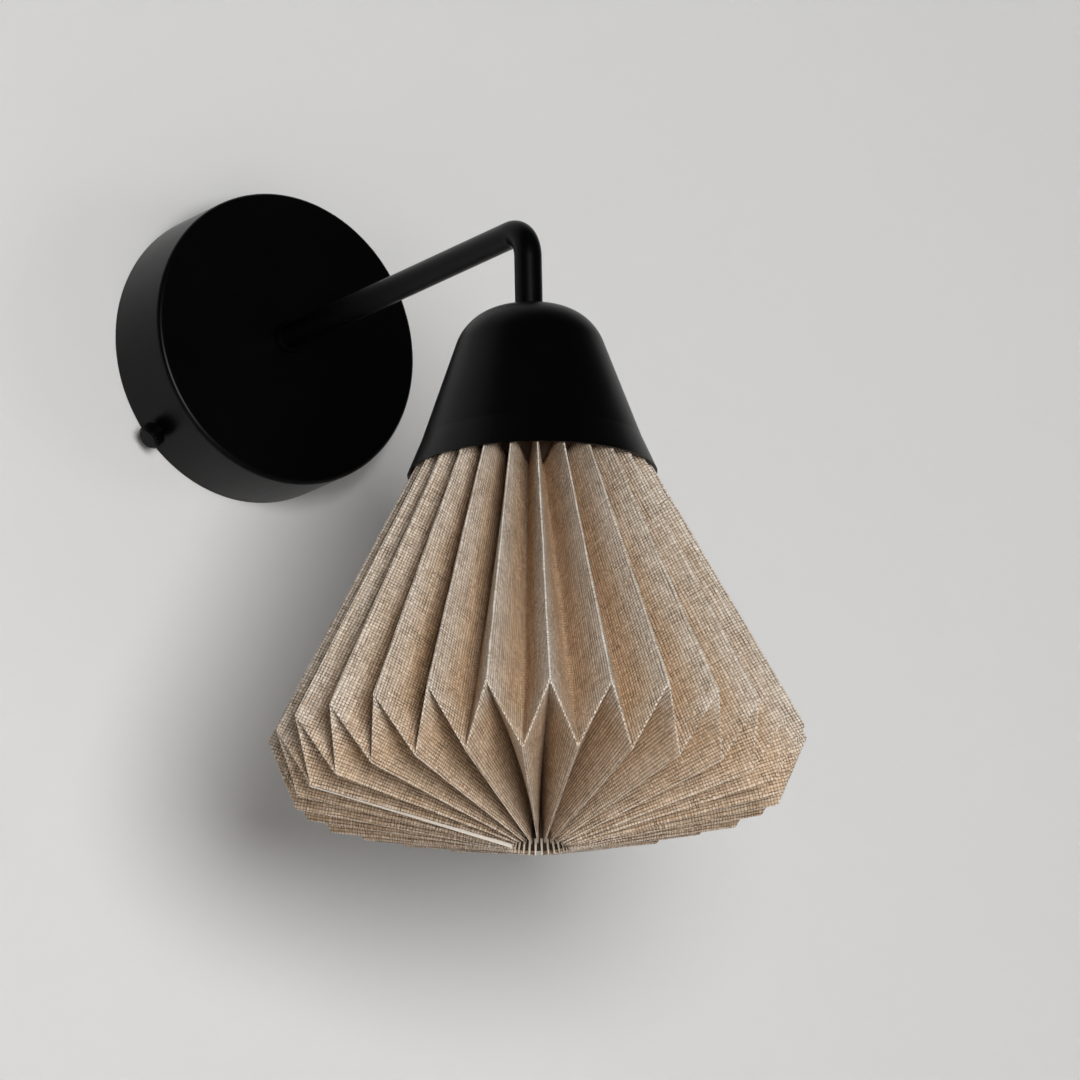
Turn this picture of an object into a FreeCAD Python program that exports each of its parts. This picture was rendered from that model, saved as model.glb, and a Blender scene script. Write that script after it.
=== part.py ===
"""Pleated fabric wall light: a round wall plate, a bent tube arm, a spun bell cap and a folded linen shade.

Millimetres. The origin is the centre of the wall plate's back, on the wall. -Y points out of the wall and +Z
is up. The shade is folded from one straight strip: its creases are parallel, and one zigzag crease turns
ridges into valleys, so every corner of the shade follows from the strip's panel width and the slopes of its
two cones.
"""
import FreeCAD, Part
import math
import os

from FreeCAD import Vector

OUT_X = Vector(1, 0, 0)
OUT_Y = Vector(0, 1, 0)
UP = Vector(0, 0, 1)
OUTWARD = Vector(0, -1, 0)
DOWN = Vector(0, 0, -1)

# Clearances.
SEAT_GAP = 0.3          # between a piece and what it rests on, where curved faces would bite
SCREW_FIT = 0.05        # radial, a screw in its thread
HOLE_FIT = 0.4          # radial, a screw or a nipple in a plain hole
THREAD_FIT = 0.1        # radial, a thread that is joined for good

# Wall plate.
PLATE_DIAMETER = 114.0
PLATE_DEPTH = 32.0
PLATE_WALL = 1.2
PLATE_EDGE_RADIUS = 1.8

# Wall bracket inside the plate, with two bent ears that take the side screws.
BRACKET_ANGLE = 40.0    # of the strap above the horizontal
BRACKET_WIDTH = 20.0
BRACKET_THICKNESS = 2.0
BRACKET_EAR_WIDTH = 14.0
BRACKET_EAR_HEIGHT = 15.0
BRACKET_BEND_RADIUS = 1.0
WALL_HOLE_CIRCLE = 70.0
WALL_HOLE_RADIUS = 2.5
ADJUSTING_SLOT_LENGTH = 14.0
ADJUSTING_SLOT_WIDTH = 4.5
ADJUSTING_SLOT_OFFSET = 21.0
CENTRE_HOLE_RADIUS = 5.2
TONGUE_LENGTH = 36.0    # from the strap's middle line to the tongue's end
TONGUE_WIDTH = 30.0

# Side screws that lock the plate to the bracket.
SIDE_SCREW_HEIGHT = 9.0         # from the wall
SIDE_SCREW_RADIUS = 2.0
SIDE_SCREW_REACH = 9.0          # of the shank inside the plate's wall
SIDE_SCREW_HEAD_RADIUS = 4.8
SIDE_SCREW_HEAD_LENGTH = 5.0
SIDE_SCREW_NECK_RADIUS = 3.0
SIDE_SCREW_NECK_LENGTH = 1.4
SIDE_SCREW_EDGE = 0.5
SIDE_SCREW_FLUTES = 16
SIDE_SCREW_FLUTE_RADIUS = 0.45

# Arm.
ARM_REACH = 198.0               # wall to the lamp's vertical axis
TUBE_DIAMETER = 10.0
TUBE_WALL = 1.0
BEND_RADIUS = 11.0
COLLAR_DIAMETER = 12.4
COLLAR_LENGTH = 3.0
COLLAR_GROOVE = 0.6
NIPPLE_BORE_RADIUS = 3.1
NIPPLE_GRIP = 9.0               # length held inside the tube
NIPPLE_SHOW = 0.9               # thread left showing inside the lampholder's dome
NUT_ACROSS_FLATS = 13.0
NUT_HEIGHT = 4.0
WASHER_RADIUS = 7.5
WASHER_THICKNESS = 0.8
WASHER_TEETH = 12
WASHER_NOTCH_RADIUS = 0.8
BUSH_GRIP = 2.0                 # length of the cable bush round the nipple's end
BUSH_LIP = 1.2
BUSH_WALL = 1.4
BUSH_NUT_GAP = 2.2              # thread between the nut and the bush
BUSH_CABLE_FIT = 0.1            # radial

# Bell cap.
CAP_TOP = -31.0                 # top of the cap, below the arm's axis
CAP_HEIGHT = 61.5
CAP_RIM_DIAMETER = 90.0
CAP_WALL = 1.0
CAP_FLAT_RADIUS = 7.9           # of the flat top
CAP_CROWN_RADIUS = 20.0         # round shoulder between the flat top and the flank
CAP_FLARE_HEIGHT = 12.0         # the last stretch, which flares more
CAP_FLARE_ANGLE = 23.5

# Screw lampholder.
HOLDER_NUT_GAP = 1.8            # between the cap's nut and the lampholder
HOLDER_LENGTH = 51.4
HOLDER_RADIUS = 19.7
HOLDER_WALL = 2.2
HOLDER_DOME_LENGTH = 19.0
HOLDER_DOME_TOP_RADIUS = 12.0
HOLDER_DOME_SHOULDER = 6.0
HOLDER_THREAD_DEPTH = 0.7
HOLDER_THREAD_PITCH = 2.5
HOLDER_THREAD_TURNS = 8
HOLDER_THREAD_FLANK = 0.4       # share of the pitch on each side of a thread's crest
HOLDER_THREAD_RUNOUT = 1.0
SCREW_SHELL_FIT = 0.7           # radial, round the bulb's screw
SCREW_SHELL_WALL = 0.5
SCREW_SHELL_EDGE = 1.0          # width of its turned-in top edge
SCREW_SHELL_INSET = 2.0         # above the lampholder's rim
CONTACT_OFFSET = 8.0            # of the two wire wells from the axis
CONTACT_WIDTH = 5.0
CONTACT_THICKNESS = 0.5
CONTACT_OVERHANG = 2.0          # past the axis and past the wire well
SIDE_CONTACT_INNER = 4.5        # nearest it comes to the axis
BUTTON_RADIUS = 2.4
BUTTON_HEIGHT = 1.0
INSERT_THICKNESS = 6.0
INSERT_OVERLAP = 1.0            # length of the insert inside the dome
RING_SEAT = 2.3                 # thread left below the lower ring
RING_RADIUS = 26.0
RING_HEIGHT = 4.0
RING_GRIPS = 24
RING_GRIP_RADIUS = 1.1
RING_GRIP_OFFSET = 0.4          # of a grip's centre outside the ring

# Shade carrier, a flat ring clamped between the two rings of the lampholder.
CARRIER_THICKNESS = 0.8
CARRIER_CAP_GAP = 0.6
CARRIER_HOLES = 6
CARRIER_WEB = 2.35              # between a lightening hole and the ring's edges

# Shade.
PLEAT_COUNT = 28
FIRST_RIDGE_ANGLE = 7.7         # of one ridge round the lamp's axis, from +X
SHEET_THICKNESS = 0.5
THROAT_GAP = 0.93               # from the lampholder's thread to the folds' inner ends
HIP_RADIUS = 96.1               # where a ridge of the upper cone ends: the widest point
HIP_HEIGHT = -191.7
LOWER_CREASE_ANGLE = 11.3       # of a lower valley below the horizontal
GATHER_RADIUS = 5.6             # of the lower valleys' ends round the hole
PANEL_SPANS = 3                 # flat lengths that each slightly twisted panel is drawn in

# Bulb with an E27 screw.
BULB_SCREW_RADIUS = 13.2
BULB_THREAD_DEPTH = 0.9
BULB_THREAD_PITCH = 3.6
BULB_THREAD_FOOT = 0.45         # shares of the pitch on each side of a thread's middle
BULB_THREAD_CREST = 0.15
BULB_SCREW_EDGE = 1.0
BULB_SEAT = 0.5                 # between the lampholder's rim and the bulb's housing
BULB_TIP_LENGTH = 3.0
BULB_TIP_RADIUS = 5.0
BULB_TIP_EDGE = 1.0
BULB_INSULATOR_RADIUS = 8.0
BULB_NECK_RADIUS = 14.5
BULB_BODY_LENGTH = 38.0
BULB_BODY_HOLLOW = 1.5          # how far the housing's side curves in
BULB_RIM_RADIUS = 28.5
BULB_GLOBE_RADIUS = 29.0
BULB_GLOBE_DEPTH = 40.0
BULB_WALL = 1.5

# Wiring.
CABLE_RADIUS = 2.8
PLATE_CABLE_TAIL = 3.0                  # of the sheath past the plate's nipple
HOLDER_CABLE_TAIL = 4.0                 # of the sheath below the dome's top wall
CORE_RADIUS = 1.0
CORE_OFFSET = 1.3                       # of two cores from the middle of their cable
CORE_LEAD = 3.0                         # length that leaves a cable straight
PAIR_RISE = 0.8                         # of the live and neutral cores from the cable's middle
EARTH_DROP = 1.4                        # of the earth core from the cable's middle
PAIR_BEND = Vector(0.6, 7.0, 5.0)       # share of a pole's offset, depth below the cable's end, height
EARTH_BEND = Vector(-5.0, 7.0, -4.0)    # the earth core's first corner, from the cable's end
EARTH_LIFT = Vector(0, -2.0, -6.0)      # the earth core's last corner, from its end at the lug
HOLDER_BEND_RISE = 2.5                  # of the cores' last corner above the insert
BLOCK_LENGTH = 22.0                     # along the strap
BLOCK_HEIGHT = 12.0                     # out of the wall
BLOCK_DEPTH = 16.0                      # away from the strap
BLOCK_EDGE_RADIUS = 1.0
BLOCK_POLES = 2
BLOCK_PITCH = 10.0
BLOCK_WALL = 0.5                        # of the plastic left clear round a clamp and a screw
BLOCK_GAP = 6.0                         # between the strap's edge and the block
BLOCK_SCREW_RADIUS = 1.5
BLOCK_SCREW_OFFSET = 4.5                # of a pole's two screws from its middle
BLOCK_SCREW_SUNK = 0.8
BLOCK_SCREW_GRIP = 0.2                  # between a screw's end and the core
BLOCK_CORE_REACH = 4.0                  # of a core inside the block, and straight before it
SCREW_SLIT = 0.6                        # width and depth
CLAMP_RADIUS = 1.9
CLAMP_WALL = 0.8
CLAMP_INSET = 1.0
EARTH_OFFSET = 11.5                     # of the earth screw from the middle, along and across the strap
EARTH_HEAD_RADIUS = 3.6
EARTH_HEAD_HEIGHT = 2.4
EARTH_HEAD_EDGE = 0.8
EARTH_CROSS_LENGTH = 4.0
EARTH_CROSS_WIDTH = 0.8
EARTH_CROSS_DEPTH = 1.2
EARTH_LUG_THICKNESS = 0.8
EARTH_LUG_GAP = 0.1

PARTS = "parts"
TURN = 360.0
ROUTE_CORNER_SHARE = 0.45       # of the shorter run that a route's rounded corner takes at each end
PIPE_VOLUME_SLACK = 0.01        # share by which a pipe may differ from its section times its length


def half(value):
    return value / 2.0


def save(name, *solids):
    """Writes one named piece, or one group of separate solids, to its own STEP file."""
    shape = solids[0] if len(solids) == 1 else Part.makeCompound(list(solids))
    for solid in shape.Solids:
        if not solid.isValid() or solid.Volume <= 0:
            raise ValueError(name + " has a bad solid")
    print("%-22s %3d solids %10.1f mm3" % (name, len(shape.Solids), shape.Volume))
    shape.exportStep(os.path.join(PARTS, name + ".step"))


def cylinder(radius, length, start, axis):
    return Part.makeCylinder(radius, length, start, axis)


def tube(outer, inner, length, start, axis):
    return cylinder(outer, length, start, axis).cut(cylinder(inner, length, start, axis))


def revolve(profile, centre=Vector(0, 0, 0), axis=UP):
    """Turns a closed outline once round Z and places it. Its edges lie in the XZ plane, with X the radius."""
    face = Part.Face(Part.Wire(Part.__sortEdges__(profile)))
    solid = face.revolve(Vector(0, 0, 0), UP, TURN)
    if axis != UP:
        solid.rotate(Vector(0, 0, 0), UP.cross(axis), math.degrees(UP.getAngle(axis)))
    solid.translate(centre)
    return solid


def outline(points):
    """Straight edges through (radius, height) points, closed."""
    corners = [Vector(r, 0, z) for r, z in points]
    return [Part.LineSegment(a, b).toShape() for a, b in zip(corners, corners[1:] + corners[:1])]


def hexagon(across_flats, height, start, axis):
    radius = half(across_flats) / math.cos(math.radians(30.0))
    angles = [math.radians(60.0 * k) for k in range(6)]
    corners = [Vector(radius * math.cos(angle), radius * math.sin(angle), 0) for angle in angles]
    prism = Part.Face(Part.makePolygon(corners + corners[:1])).extrude(UP * height)
    if abs(axis.z) < 1:
        prism.rotate(Vector(0, 0, 0), UP.cross(axis), math.degrees(UP.getAngle(axis)))
    if axis.z < 0:
        prism.rotate(Vector(0, 0, 0), OUT_X, 180.0)
    prism.translate(start)
    return prism


def route(points):
    """A wire of straight runs joined by tangent arcs, each as large as its two runs allow."""
    edges = []
    start = points[0]
    for before, corner, after in zip(points, points[1:], points[2:]):
        come = (corner - before)
        go = (after - corner)
        turn = come.getAngle(go)
        run = min(come.Length, go.Length)
        cut = ROUTE_CORNER_SHARE * run
        come.normalize()
        go.normalize()
        first = corner - come * cut
        last = corner + go * cut
        radius = cut / math.tan(half(turn))
        inward = (go - come)
        inward.normalize()
        middle = corner + inward * (radius / math.cos(half(turn)) - radius)
        edges.append(Part.LineSegment(start, first).toShape())
        edges.append(Part.Arc(first, middle, last).toShape())
        start = last
    edges.append(Part.LineSegment(start, points[-1]).toShape())
    return Part.Wire(edges)


def pipe(path, radius):
    """A round bar along a wire, checked against its section times its length."""
    start = path.Edges[0]
    ring = Part.Wire(Part.makeCircle(radius, start.valueAt(start.FirstParameter),
                                     start.tangentAt(start.FirstParameter)))
    solid = path.makePipeShell([ring], True, False)
    expected = math.pi * radius ** 2 * path.Length
    if abs(solid.Volume - expected) > PIPE_VOLUME_SLACK * expected:
        raise ValueError("a pipe's volume is off")
    return solid


def on_bracket(shape):
    """Turns what is drawn with its strap along X to the strap's real slope."""
    shape.rotate(Vector(0, 0, 0), OUT_Y, -BRACKET_ANGLE)
    return shape


# Wall plate and its fixings.

PLATE_RADIUS = half(PLATE_DIAMETER)
PLATE_INNER_FACE = -(PLATE_DEPTH - PLATE_WALL)
TUBE_RADIUS = half(TUBE_DIAMETER)
NIPPLE_RADIUS = TUBE_RADIUS - TUBE_WALL - THREAD_FIT
EARTH_PLACE = Vector(-EARTH_OFFSET, 0, EARTH_OFFSET)
SAME_PLACE = 0.01


def side_screw_turns():
    """The two ends of the strap: the right ear and the left ear."""
    return (0.0, 180.0)


def wall_plate():
    cup = cylinder(PLATE_RADIUS, PLATE_DEPTH, Vector(0, 0, 0), OUTWARD)
    front = [e for e in cup.Edges if e.Closed and abs(e.CenterOfMass.y + PLATE_DEPTH) < SAME_PLACE]
    cup = cup.makeFillet(PLATE_EDGE_RADIUS, front)
    hollow = cylinder(PLATE_RADIUS - PLATE_WALL, PLATE_DEPTH - PLATE_WALL, Vector(0, 0, 0), OUTWARD)
    inner_radius = max(PLATE_EDGE_RADIUS - PLATE_WALL, SEAT_GAP)
    corner = [e for e in hollow.Edges if e.Closed and abs(e.CenterOfMass.y - PLATE_INNER_FACE) < SAME_PLACE]
    cup = cup.cut(hollow.makeFillet(inner_radius, corner))
    cup = cup.cut(cylinder(NIPPLE_RADIUS + HOLE_FIT, PLATE_DEPTH, Vector(0, 0, 0), OUTWARD))
    for turn in side_screw_turns():
        hole = cylinder(SIDE_SCREW_RADIUS + HOLE_FIT, PLATE_RADIUS, Vector(0, -SIDE_SCREW_HEIGHT, 0), OUT_X)
        hole.rotate(Vector(0, 0, 0), OUT_Y, turn)
        cup = cup.cut(on_bracket(hole))
    return cup


def ear_face():
    """Distance of an ear's outer face from the plate's axis: its corners just clear the plate's wall."""
    return math.sqrt((PLATE_RADIUS - PLATE_WALL) ** 2 - half(BRACKET_EAR_WIDTH) ** 2) - SEAT_GAP


def slot(length, width, centre):
    straight = length - width
    body = Part.makeBox(straight, BRACKET_THICKNESS, width,
                        centre + Vector(-half(straight), -BRACKET_THICKNESS, -half(width)))
    for side in (-1, 1):
        end = centre + OUT_X * (side * half(straight))
        body = body.fuse(cylinder(half(width), BRACKET_THICKNESS, end, OUTWARD))
    return body.removeSplitter()


def wall_bracket():
    reach = ear_face()
    strap = Part.makeBox(2 * reach, BRACKET_THICKNESS, BRACKET_WIDTH,
                         Vector(-reach, -BRACKET_THICKNESS, -half(BRACKET_WIDTH)))
    strap = strap.fuse(Part.makeBox(TONGUE_WIDTH, BRACKET_THICKNESS, TONGUE_LENGTH,
                                    Vector(-half(TONGUE_WIDTH), -BRACKET_THICKNESS, 0)))
    taper = half(BRACKET_WIDTH - BRACKET_EAR_WIDTH)
    for side in (-1, 1):
        ear = Part.makeBox(BRACKET_THICKNESS, BRACKET_EAR_HEIGHT, BRACKET_EAR_WIDTH,
                           Vector(-BRACKET_THICKNESS, -BRACKET_EAR_HEIGHT, -half(BRACKET_EAR_WIDTH)))
        top = [e for e in ear.Edges
               if abs(e.CenterOfMass.y + BRACKET_EAR_HEIGHT) < SAME_PLACE and abs(e.CenterOfMass.z) > taper]
        ear = ear.makeFillet(half(BRACKET_THICKNESS), top)
        ear.translate(OUT_X * reach)
        if side < 0:
            ear.rotate(Vector(0, 0, 0), OUT_Y, 180.0)
        strap = strap.fuse(ear)
        for edge_side in (-1, 1):
            corner = [Vector(side * reach, 0, edge_side * half(BRACKET_WIDTH)),
                      Vector(side * reach, 0, edge_side * half(BRACKET_EAR_WIDTH)),
                      Vector(side * (reach - 2 * taper), 0, edge_side * half(BRACKET_WIDTH))]
            wedge = Part.Face(Part.makePolygon(corner + corner[:1]))
            strap = strap.cut(wedge.extrude(OUTWARD * BRACKET_THICKNESS))
        bend_place = OUT_X * (side * reach)
        outer_bend = [e for e in strap.Edges if (e.CenterOfMass - bend_place).Length < SAME_PLACE]
        strap = strap.makeFillet(BRACKET_BEND_RADIUS, outer_bend)
        screw_place = OUTWARD * SIDE_SCREW_HEIGHT
        strap = strap.cut(cylinder(SIDE_SCREW_RADIUS + SCREW_FIT, PLATE_RADIUS, screw_place, OUT_X * side))
        wall_hole = OUT_X * (side * half(WALL_HOLE_CIRCLE))
        strap = strap.cut(cylinder(WALL_HOLE_RADIUS, BRACKET_THICKNESS, wall_hole, OUTWARD))
        adjusting_slot = OUT_X * (side * ADJUSTING_SLOT_OFFSET)
        strap = strap.cut(slot(ADJUSTING_SLOT_LENGTH, ADJUSTING_SLOT_WIDTH, adjusting_slot))
    strap = strap.cut(cylinder(CENTRE_HOLE_RADIUS, BRACKET_THICKNESS, Vector(0, 0, 0), OUTWARD))
    strap = strap.cut(cylinder(SIDE_SCREW_RADIUS + SCREW_FIT, BRACKET_THICKNESS, EARTH_PLACE, OUTWARD))
    return on_bracket(strap.removeSplitter())


def side_screw(turn):
    """A knurled screw: chamfered head, neck and shank, drawn along +X and then turned into place."""
    under_neck = PLATE_RADIUS + SEAT_GAP
    under_head = under_neck + SIDE_SCREW_NECK_LENGTH
    crown = under_head + SIDE_SCREW_HEAD_LENGTH
    tip = under_neck - PLATE_WALL - SIDE_SCREW_REACH
    edge = SIDE_SCREW_EDGE
    profile = outline([(0, tip), (SIDE_SCREW_RADIUS - edge, tip), (SIDE_SCREW_RADIUS, tip + edge),
                       (SIDE_SCREW_RADIUS, under_neck), (SIDE_SCREW_NECK_RADIUS, under_neck),
                       (SIDE_SCREW_NECK_RADIUS, under_head), (SIDE_SCREW_HEAD_RADIUS - edge, under_head),
                       (SIDE_SCREW_HEAD_RADIUS, under_head + edge),
                       (SIDE_SCREW_HEAD_RADIUS, crown - 2 * edge),
                       (SIDE_SCREW_HEAD_RADIUS - 2 * edge, crown), (0, crown)])
    screw = revolve(profile)
    for k in range(SIDE_SCREW_FLUTES):
        start = Vector(SIDE_SCREW_HEAD_RADIUS, 0, under_head)
        flute = cylinder(SIDE_SCREW_FLUTE_RADIUS, SIDE_SCREW_HEAD_LENGTH, start, UP)
        flute.rotate(Vector(0, 0, 0), UP, k * TURN / SIDE_SCREW_FLUTES)
        screw = screw.cut(flute)
    screw.rotate(Vector(0, 0, 0), OUT_Y, 90.0)
    screw.translate(OUTWARD * SIDE_SCREW_HEIGHT)
    screw.rotate(Vector(0, 0, 0), OUT_Y, turn)
    return on_bracket(screw)


# Arm.

LAMP_AXIS = Vector(0, -ARM_REACH, 0)
TUBE_START = -(PLATE_DEPTH + COLLAR_LENGTH)
TUBE_END = CAP_TOP + SEAT_GAP
PLATE_NIPPLE_TAIL = WASHER_THICKNESS + NUT_HEIGHT + BUSH_NUT_GAP + BUSH_GRIP


def at_lamp(height):
    return LAMP_AXIS + UP * height


def arm_path(start, end):
    """The arm's middle line: out of the wall, round the bend and down."""
    bend_in = Vector(0, -(ARM_REACH - BEND_RADIUS), 0)
    bend_out = at_lamp(-BEND_RADIUS)
    rise = BEND_RADIUS * math.sin(math.radians(45.0))
    middle = bend_in + OUTWARD * rise + DOWN * (BEND_RADIUS - rise)
    return Part.Wire([Part.LineSegment(Vector(0, start, 0), bend_in).toShape(),
                      Part.Arc(bend_in, middle, bend_out).toShape(),
                      Part.LineSegment(bend_out, at_lamp(end)).toShape()])


def arm_tube():
    path = arm_path(TUBE_START, TUBE_END)
    return pipe(path, TUBE_RADIUS).cut(pipe(path, TUBE_RADIUS - TUBE_WALL))


def arm_collar():
    """The turned ring at the arm's root, with a shallow groove behind its lip."""
    outer = half(COLLAR_DIAMETER)
    inner = NIPPLE_RADIUS + THREAD_FIT
    lip = COLLAR_LENGTH - 2 * COLLAR_GROOVE
    profile = outline([(inner, 0), (outer - COLLAR_GROOVE, 0), (outer - COLLAR_GROOVE, COLLAR_GROOVE),
                       (outer, COLLAR_GROOVE), (outer, COLLAR_GROOVE + half(lip)),
                       (outer - COLLAR_GROOVE, COLLAR_LENGTH), (inner, COLLAR_LENGTH)])
    return revolve(profile, Vector(0, -PLATE_DEPTH, 0), OUTWARD)


def nipple(start, length, axis):
    return tube(NIPPLE_RADIUS, NIPPLE_BORE_RADIUS, length, start, axis)


def lock_nut(start, axis):
    nut = hexagon(NUT_ACROSS_FLATS, NUT_HEIGHT, start, axis)
    return nut.cut(cylinder(NIPPLE_RADIUS + THREAD_FIT, NUT_HEIGHT, start, axis))


def lock_washer(start, axis):
    """A washer with a ring of teeth round its hole."""
    washer = cylinder(WASHER_RADIUS, WASHER_THICKNESS, start, axis)
    hole = NIPPLE_RADIUS + HOLE_FIT
    washer = washer.cut(cylinder(hole, WASHER_THICKNESS, start, axis))
    for k in range(WASHER_TEETH):
        place = start + OUT_X * (hole + half(WASHER_NOTCH_RADIUS))
        notch = cylinder(WASHER_NOTCH_RADIUS, WASHER_THICKNESS, place, axis)
        notch.rotate(start, axis, k * TURN / WASHER_TEETH)
        washer = washer.cut(notch)
    return washer


def cable_bush():
    """A plastic bush on the nipple's end that guards the cable."""
    start = Vector(0, PLATE_INNER_FACE + PLATE_NIPPLE_TAIL - BUSH_GRIP, 0)
    outer = tube(NIPPLE_RADIUS + BUSH_WALL, NIPPLE_RADIUS + THREAD_FIT, BUSH_GRIP, start, OUT_Y)
    lip_start = start + OUT_Y * BUSH_GRIP
    lip = tube(NIPPLE_RADIUS + BUSH_WALL, CABLE_RADIUS + BUSH_CABLE_FIT, BUSH_LIP, lip_start, OUT_Y)
    return outer.fuse(lip).removeSplitter()


# Bell cap.

CAP_RIM_HEIGHT = CAP_TOP - CAP_HEIGHT
CAP_FLARE = math.radians(CAP_FLARE_ANGLE)


def cap_flank():
    """Slope of the flank from the vertical: from the top of the flare it just touches the round crown."""
    across = half(CAP_RIM_DIAMETER) - CAP_FLARE_HEIGHT * math.tan(CAP_FLARE) - CAP_FLAT_RADIUS
    down = CAP_HEIGHT - CAP_FLARE_HEIGHT - CAP_CROWN_RADIUS
    return math.atan2(across, down) - math.asin(CAP_CROWN_RADIUS / math.hypot(across, down))


def cap_inner_radius(height):
    """Of the cap's inner face, within its flare."""
    rim = half(CAP_RIM_DIAMETER) - CAP_WALL / math.cos(CAP_FLARE)
    return rim - (height - CAP_RIM_HEIGHT) * math.tan(CAP_FLARE)


def cap_outline(inset):
    """Places on the cap's section from its flat top to its rim, set in from the outer skin."""
    flank = cap_flank()
    radius = CAP_CROWN_RADIUS - inset
    centre = Vector(CAP_FLAT_RADIUS, 0, CAP_TOP - CAP_CROWN_RADIUS)

    def on_crown(angle):
        return centre + Vector(math.cos(angle), 0, math.sin(angle)) * radius

    straight_up = math.radians(90.0)
    flare_top = Vector(half(CAP_RIM_DIAMETER) - CAP_FLARE_HEIGHT * math.tan(CAP_FLARE), 0,
                       CAP_RIM_HEIGHT + CAP_FLARE_HEIGHT)
    mean = half(flank + CAP_FLARE)
    corner_inset = inset / math.cos(half(CAP_FLARE - flank))
    flare_top = flare_top - Vector(math.cos(mean), 0, math.sin(mean)) * corner_inset
    rim = Vector(half(CAP_RIM_DIAMETER) - inset / math.cos(CAP_FLARE), 0, CAP_RIM_HEIGHT)
    return on_crown(straight_up), on_crown(half(straight_up + flank)), on_crown(flank), flare_top, rim


def bell_cap():
    outer = cap_outline(0.0)
    inner = cap_outline(CAP_WALL)
    hole = NIPPLE_RADIUS + HOLE_FIT
    edges = []
    for start, middle, crown_end, flare_top, rim in (outer, inner):
        edges.append(Part.LineSegment(Vector(hole, 0, start.z), start).toShape())
        edges.append(Part.Arc(start, middle, crown_end).toShape())
        edges.append(Part.LineSegment(crown_end, flare_top).toShape())
        edges.append(Part.LineSegment(flare_top, rim).toShape())
    edges.append(Part.LineSegment(outer[-1], inner[-1]).toShape())
    hole_top = Vector(hole, 0, outer[0].z)
    hole_bottom = Vector(hole, 0, inner[0].z)
    edges.append(Part.LineSegment(hole_top, hole_bottom).toShape())
    return revolve(edges, LAMP_AXIS)


# Lampholder.

HOLDER_TOP = CAP_TOP - CAP_WALL - WASHER_THICKNESS - NUT_HEIGHT - HOLDER_NUT_GAP
HOLDER_BOTTOM = HOLDER_TOP - HOLDER_LENGTH
DOME_BOTTOM = HOLDER_TOP - HOLDER_DOME_LENGTH
CAP_NIPPLE_END = HOLDER_TOP - HOLDER_WALL - NIPPLE_SHOW
SOCKET_TOP = DOME_BOTTOM + INSERT_OVERLAP - INSERT_THICKNESS
INSERT_BOTTOM = SOCKET_TOP + SEAT_GAP
SCREW_SHELL_RADIUS = BULB_SCREW_RADIUS + SCREW_SHELL_FIT + SCREW_SHELL_WALL
SOCKET_RADIUS = SCREW_SHELL_RADIUS + SEAT_GAP
CARRIER_TOP = HOLDER_BOTTOM + RING_SEAT + RING_HEIGHT + CARRIER_THICKNESS


def holder_dome():
    """The upper shell: a flat top with a sloping shoulder, then a straight skirt."""
    def section(inset):
        top = HOLDER_TOP - inset
        return [(0, top), (HOLDER_DOME_TOP_RADIUS - inset, top),
                (HOLDER_RADIUS - inset, top - HOLDER_DOME_SHOULDER), (HOLDER_RADIUS - inset, DOME_BOTTOM),
                (0, DOME_BOTTOM)]
    shell = revolve(outline(section(0.0)), LAMP_AXIS).cut(revolve(outline(section(HOLDER_WALL)), LAMP_AXIS))
    return shell.cut(cylinder(NIPPLE_RADIUS + THREAD_FIT, HOLDER_DOME_LENGTH, at_lamp(HOLDER_TOP), DOWN))


def holder_body():
    """The lower shell, ringed by the thread that takes the two clamping rings."""
    top = DOME_BOTTOM - SEAT_GAP
    root = HOLDER_RADIUS - HOLDER_THREAD_DEPTH
    bore = HOLDER_RADIUS - HOLDER_WALL
    flank = HOLDER_THREAD_FLANK * HOLDER_THREAD_PITCH
    points = [(SOCKET_RADIUS, HOLDER_BOTTOM), (root, HOLDER_BOTTOM)]
    for k in range(HOLDER_THREAD_TURNS):
        crest = HOLDER_BOTTOM + half(2 * k + 1) * HOLDER_THREAD_PITCH
        points += [(root, crest - flank), (HOLDER_RADIUS, crest), (root, crest + flank)]
    thread_top = HOLDER_BOTTOM + HOLDER_THREAD_TURNS * HOLDER_THREAD_PITCH
    points += [(root, thread_top), (HOLDER_RADIUS, thread_top + HOLDER_THREAD_RUNOUT), (HOLDER_RADIUS, top),
               (bore, top), (bore, SOCKET_TOP), (SOCKET_RADIUS, SOCKET_TOP)]
    return revolve(outline(points), LAMP_AXIS)


def holder_insert():
    """The insulating block that carries the contacts, with two wells for the wires."""
    radius = HOLDER_RADIUS - HOLDER_WALL - SEAT_GAP
    block = cylinder(radius, INSERT_THICKNESS, at_lamp(INSERT_BOTTOM), UP)
    for side in (-1, 1):
        well = at_lamp(INSERT_BOTTOM) + OUT_X * (side * CONTACT_OFFSET)
        block = block.cut(cylinder(CORE_RADIUS + SEAT_GAP, INSERT_THICKNESS, well, UP))
    return block


def screw_shell():
    """The brass shell that takes the bulb, with a turned-in edge at its top."""
    top = SOCKET_TOP - SEAT_GAP
    inner = SCREW_SHELL_RADIUS - SCREW_SHELL_WALL
    shell = tube(SCREW_SHELL_RADIUS, inner, top - HOLDER_BOTTOM - SCREW_SHELL_INSET, at_lamp(top), DOWN)
    edge = tube(SCREW_SHELL_RADIUS, inner - SCREW_SHELL_EDGE, SCREW_SHELL_WALL, at_lamp(top), DOWN)
    return shell.fuse(edge).removeSplitter()


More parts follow.
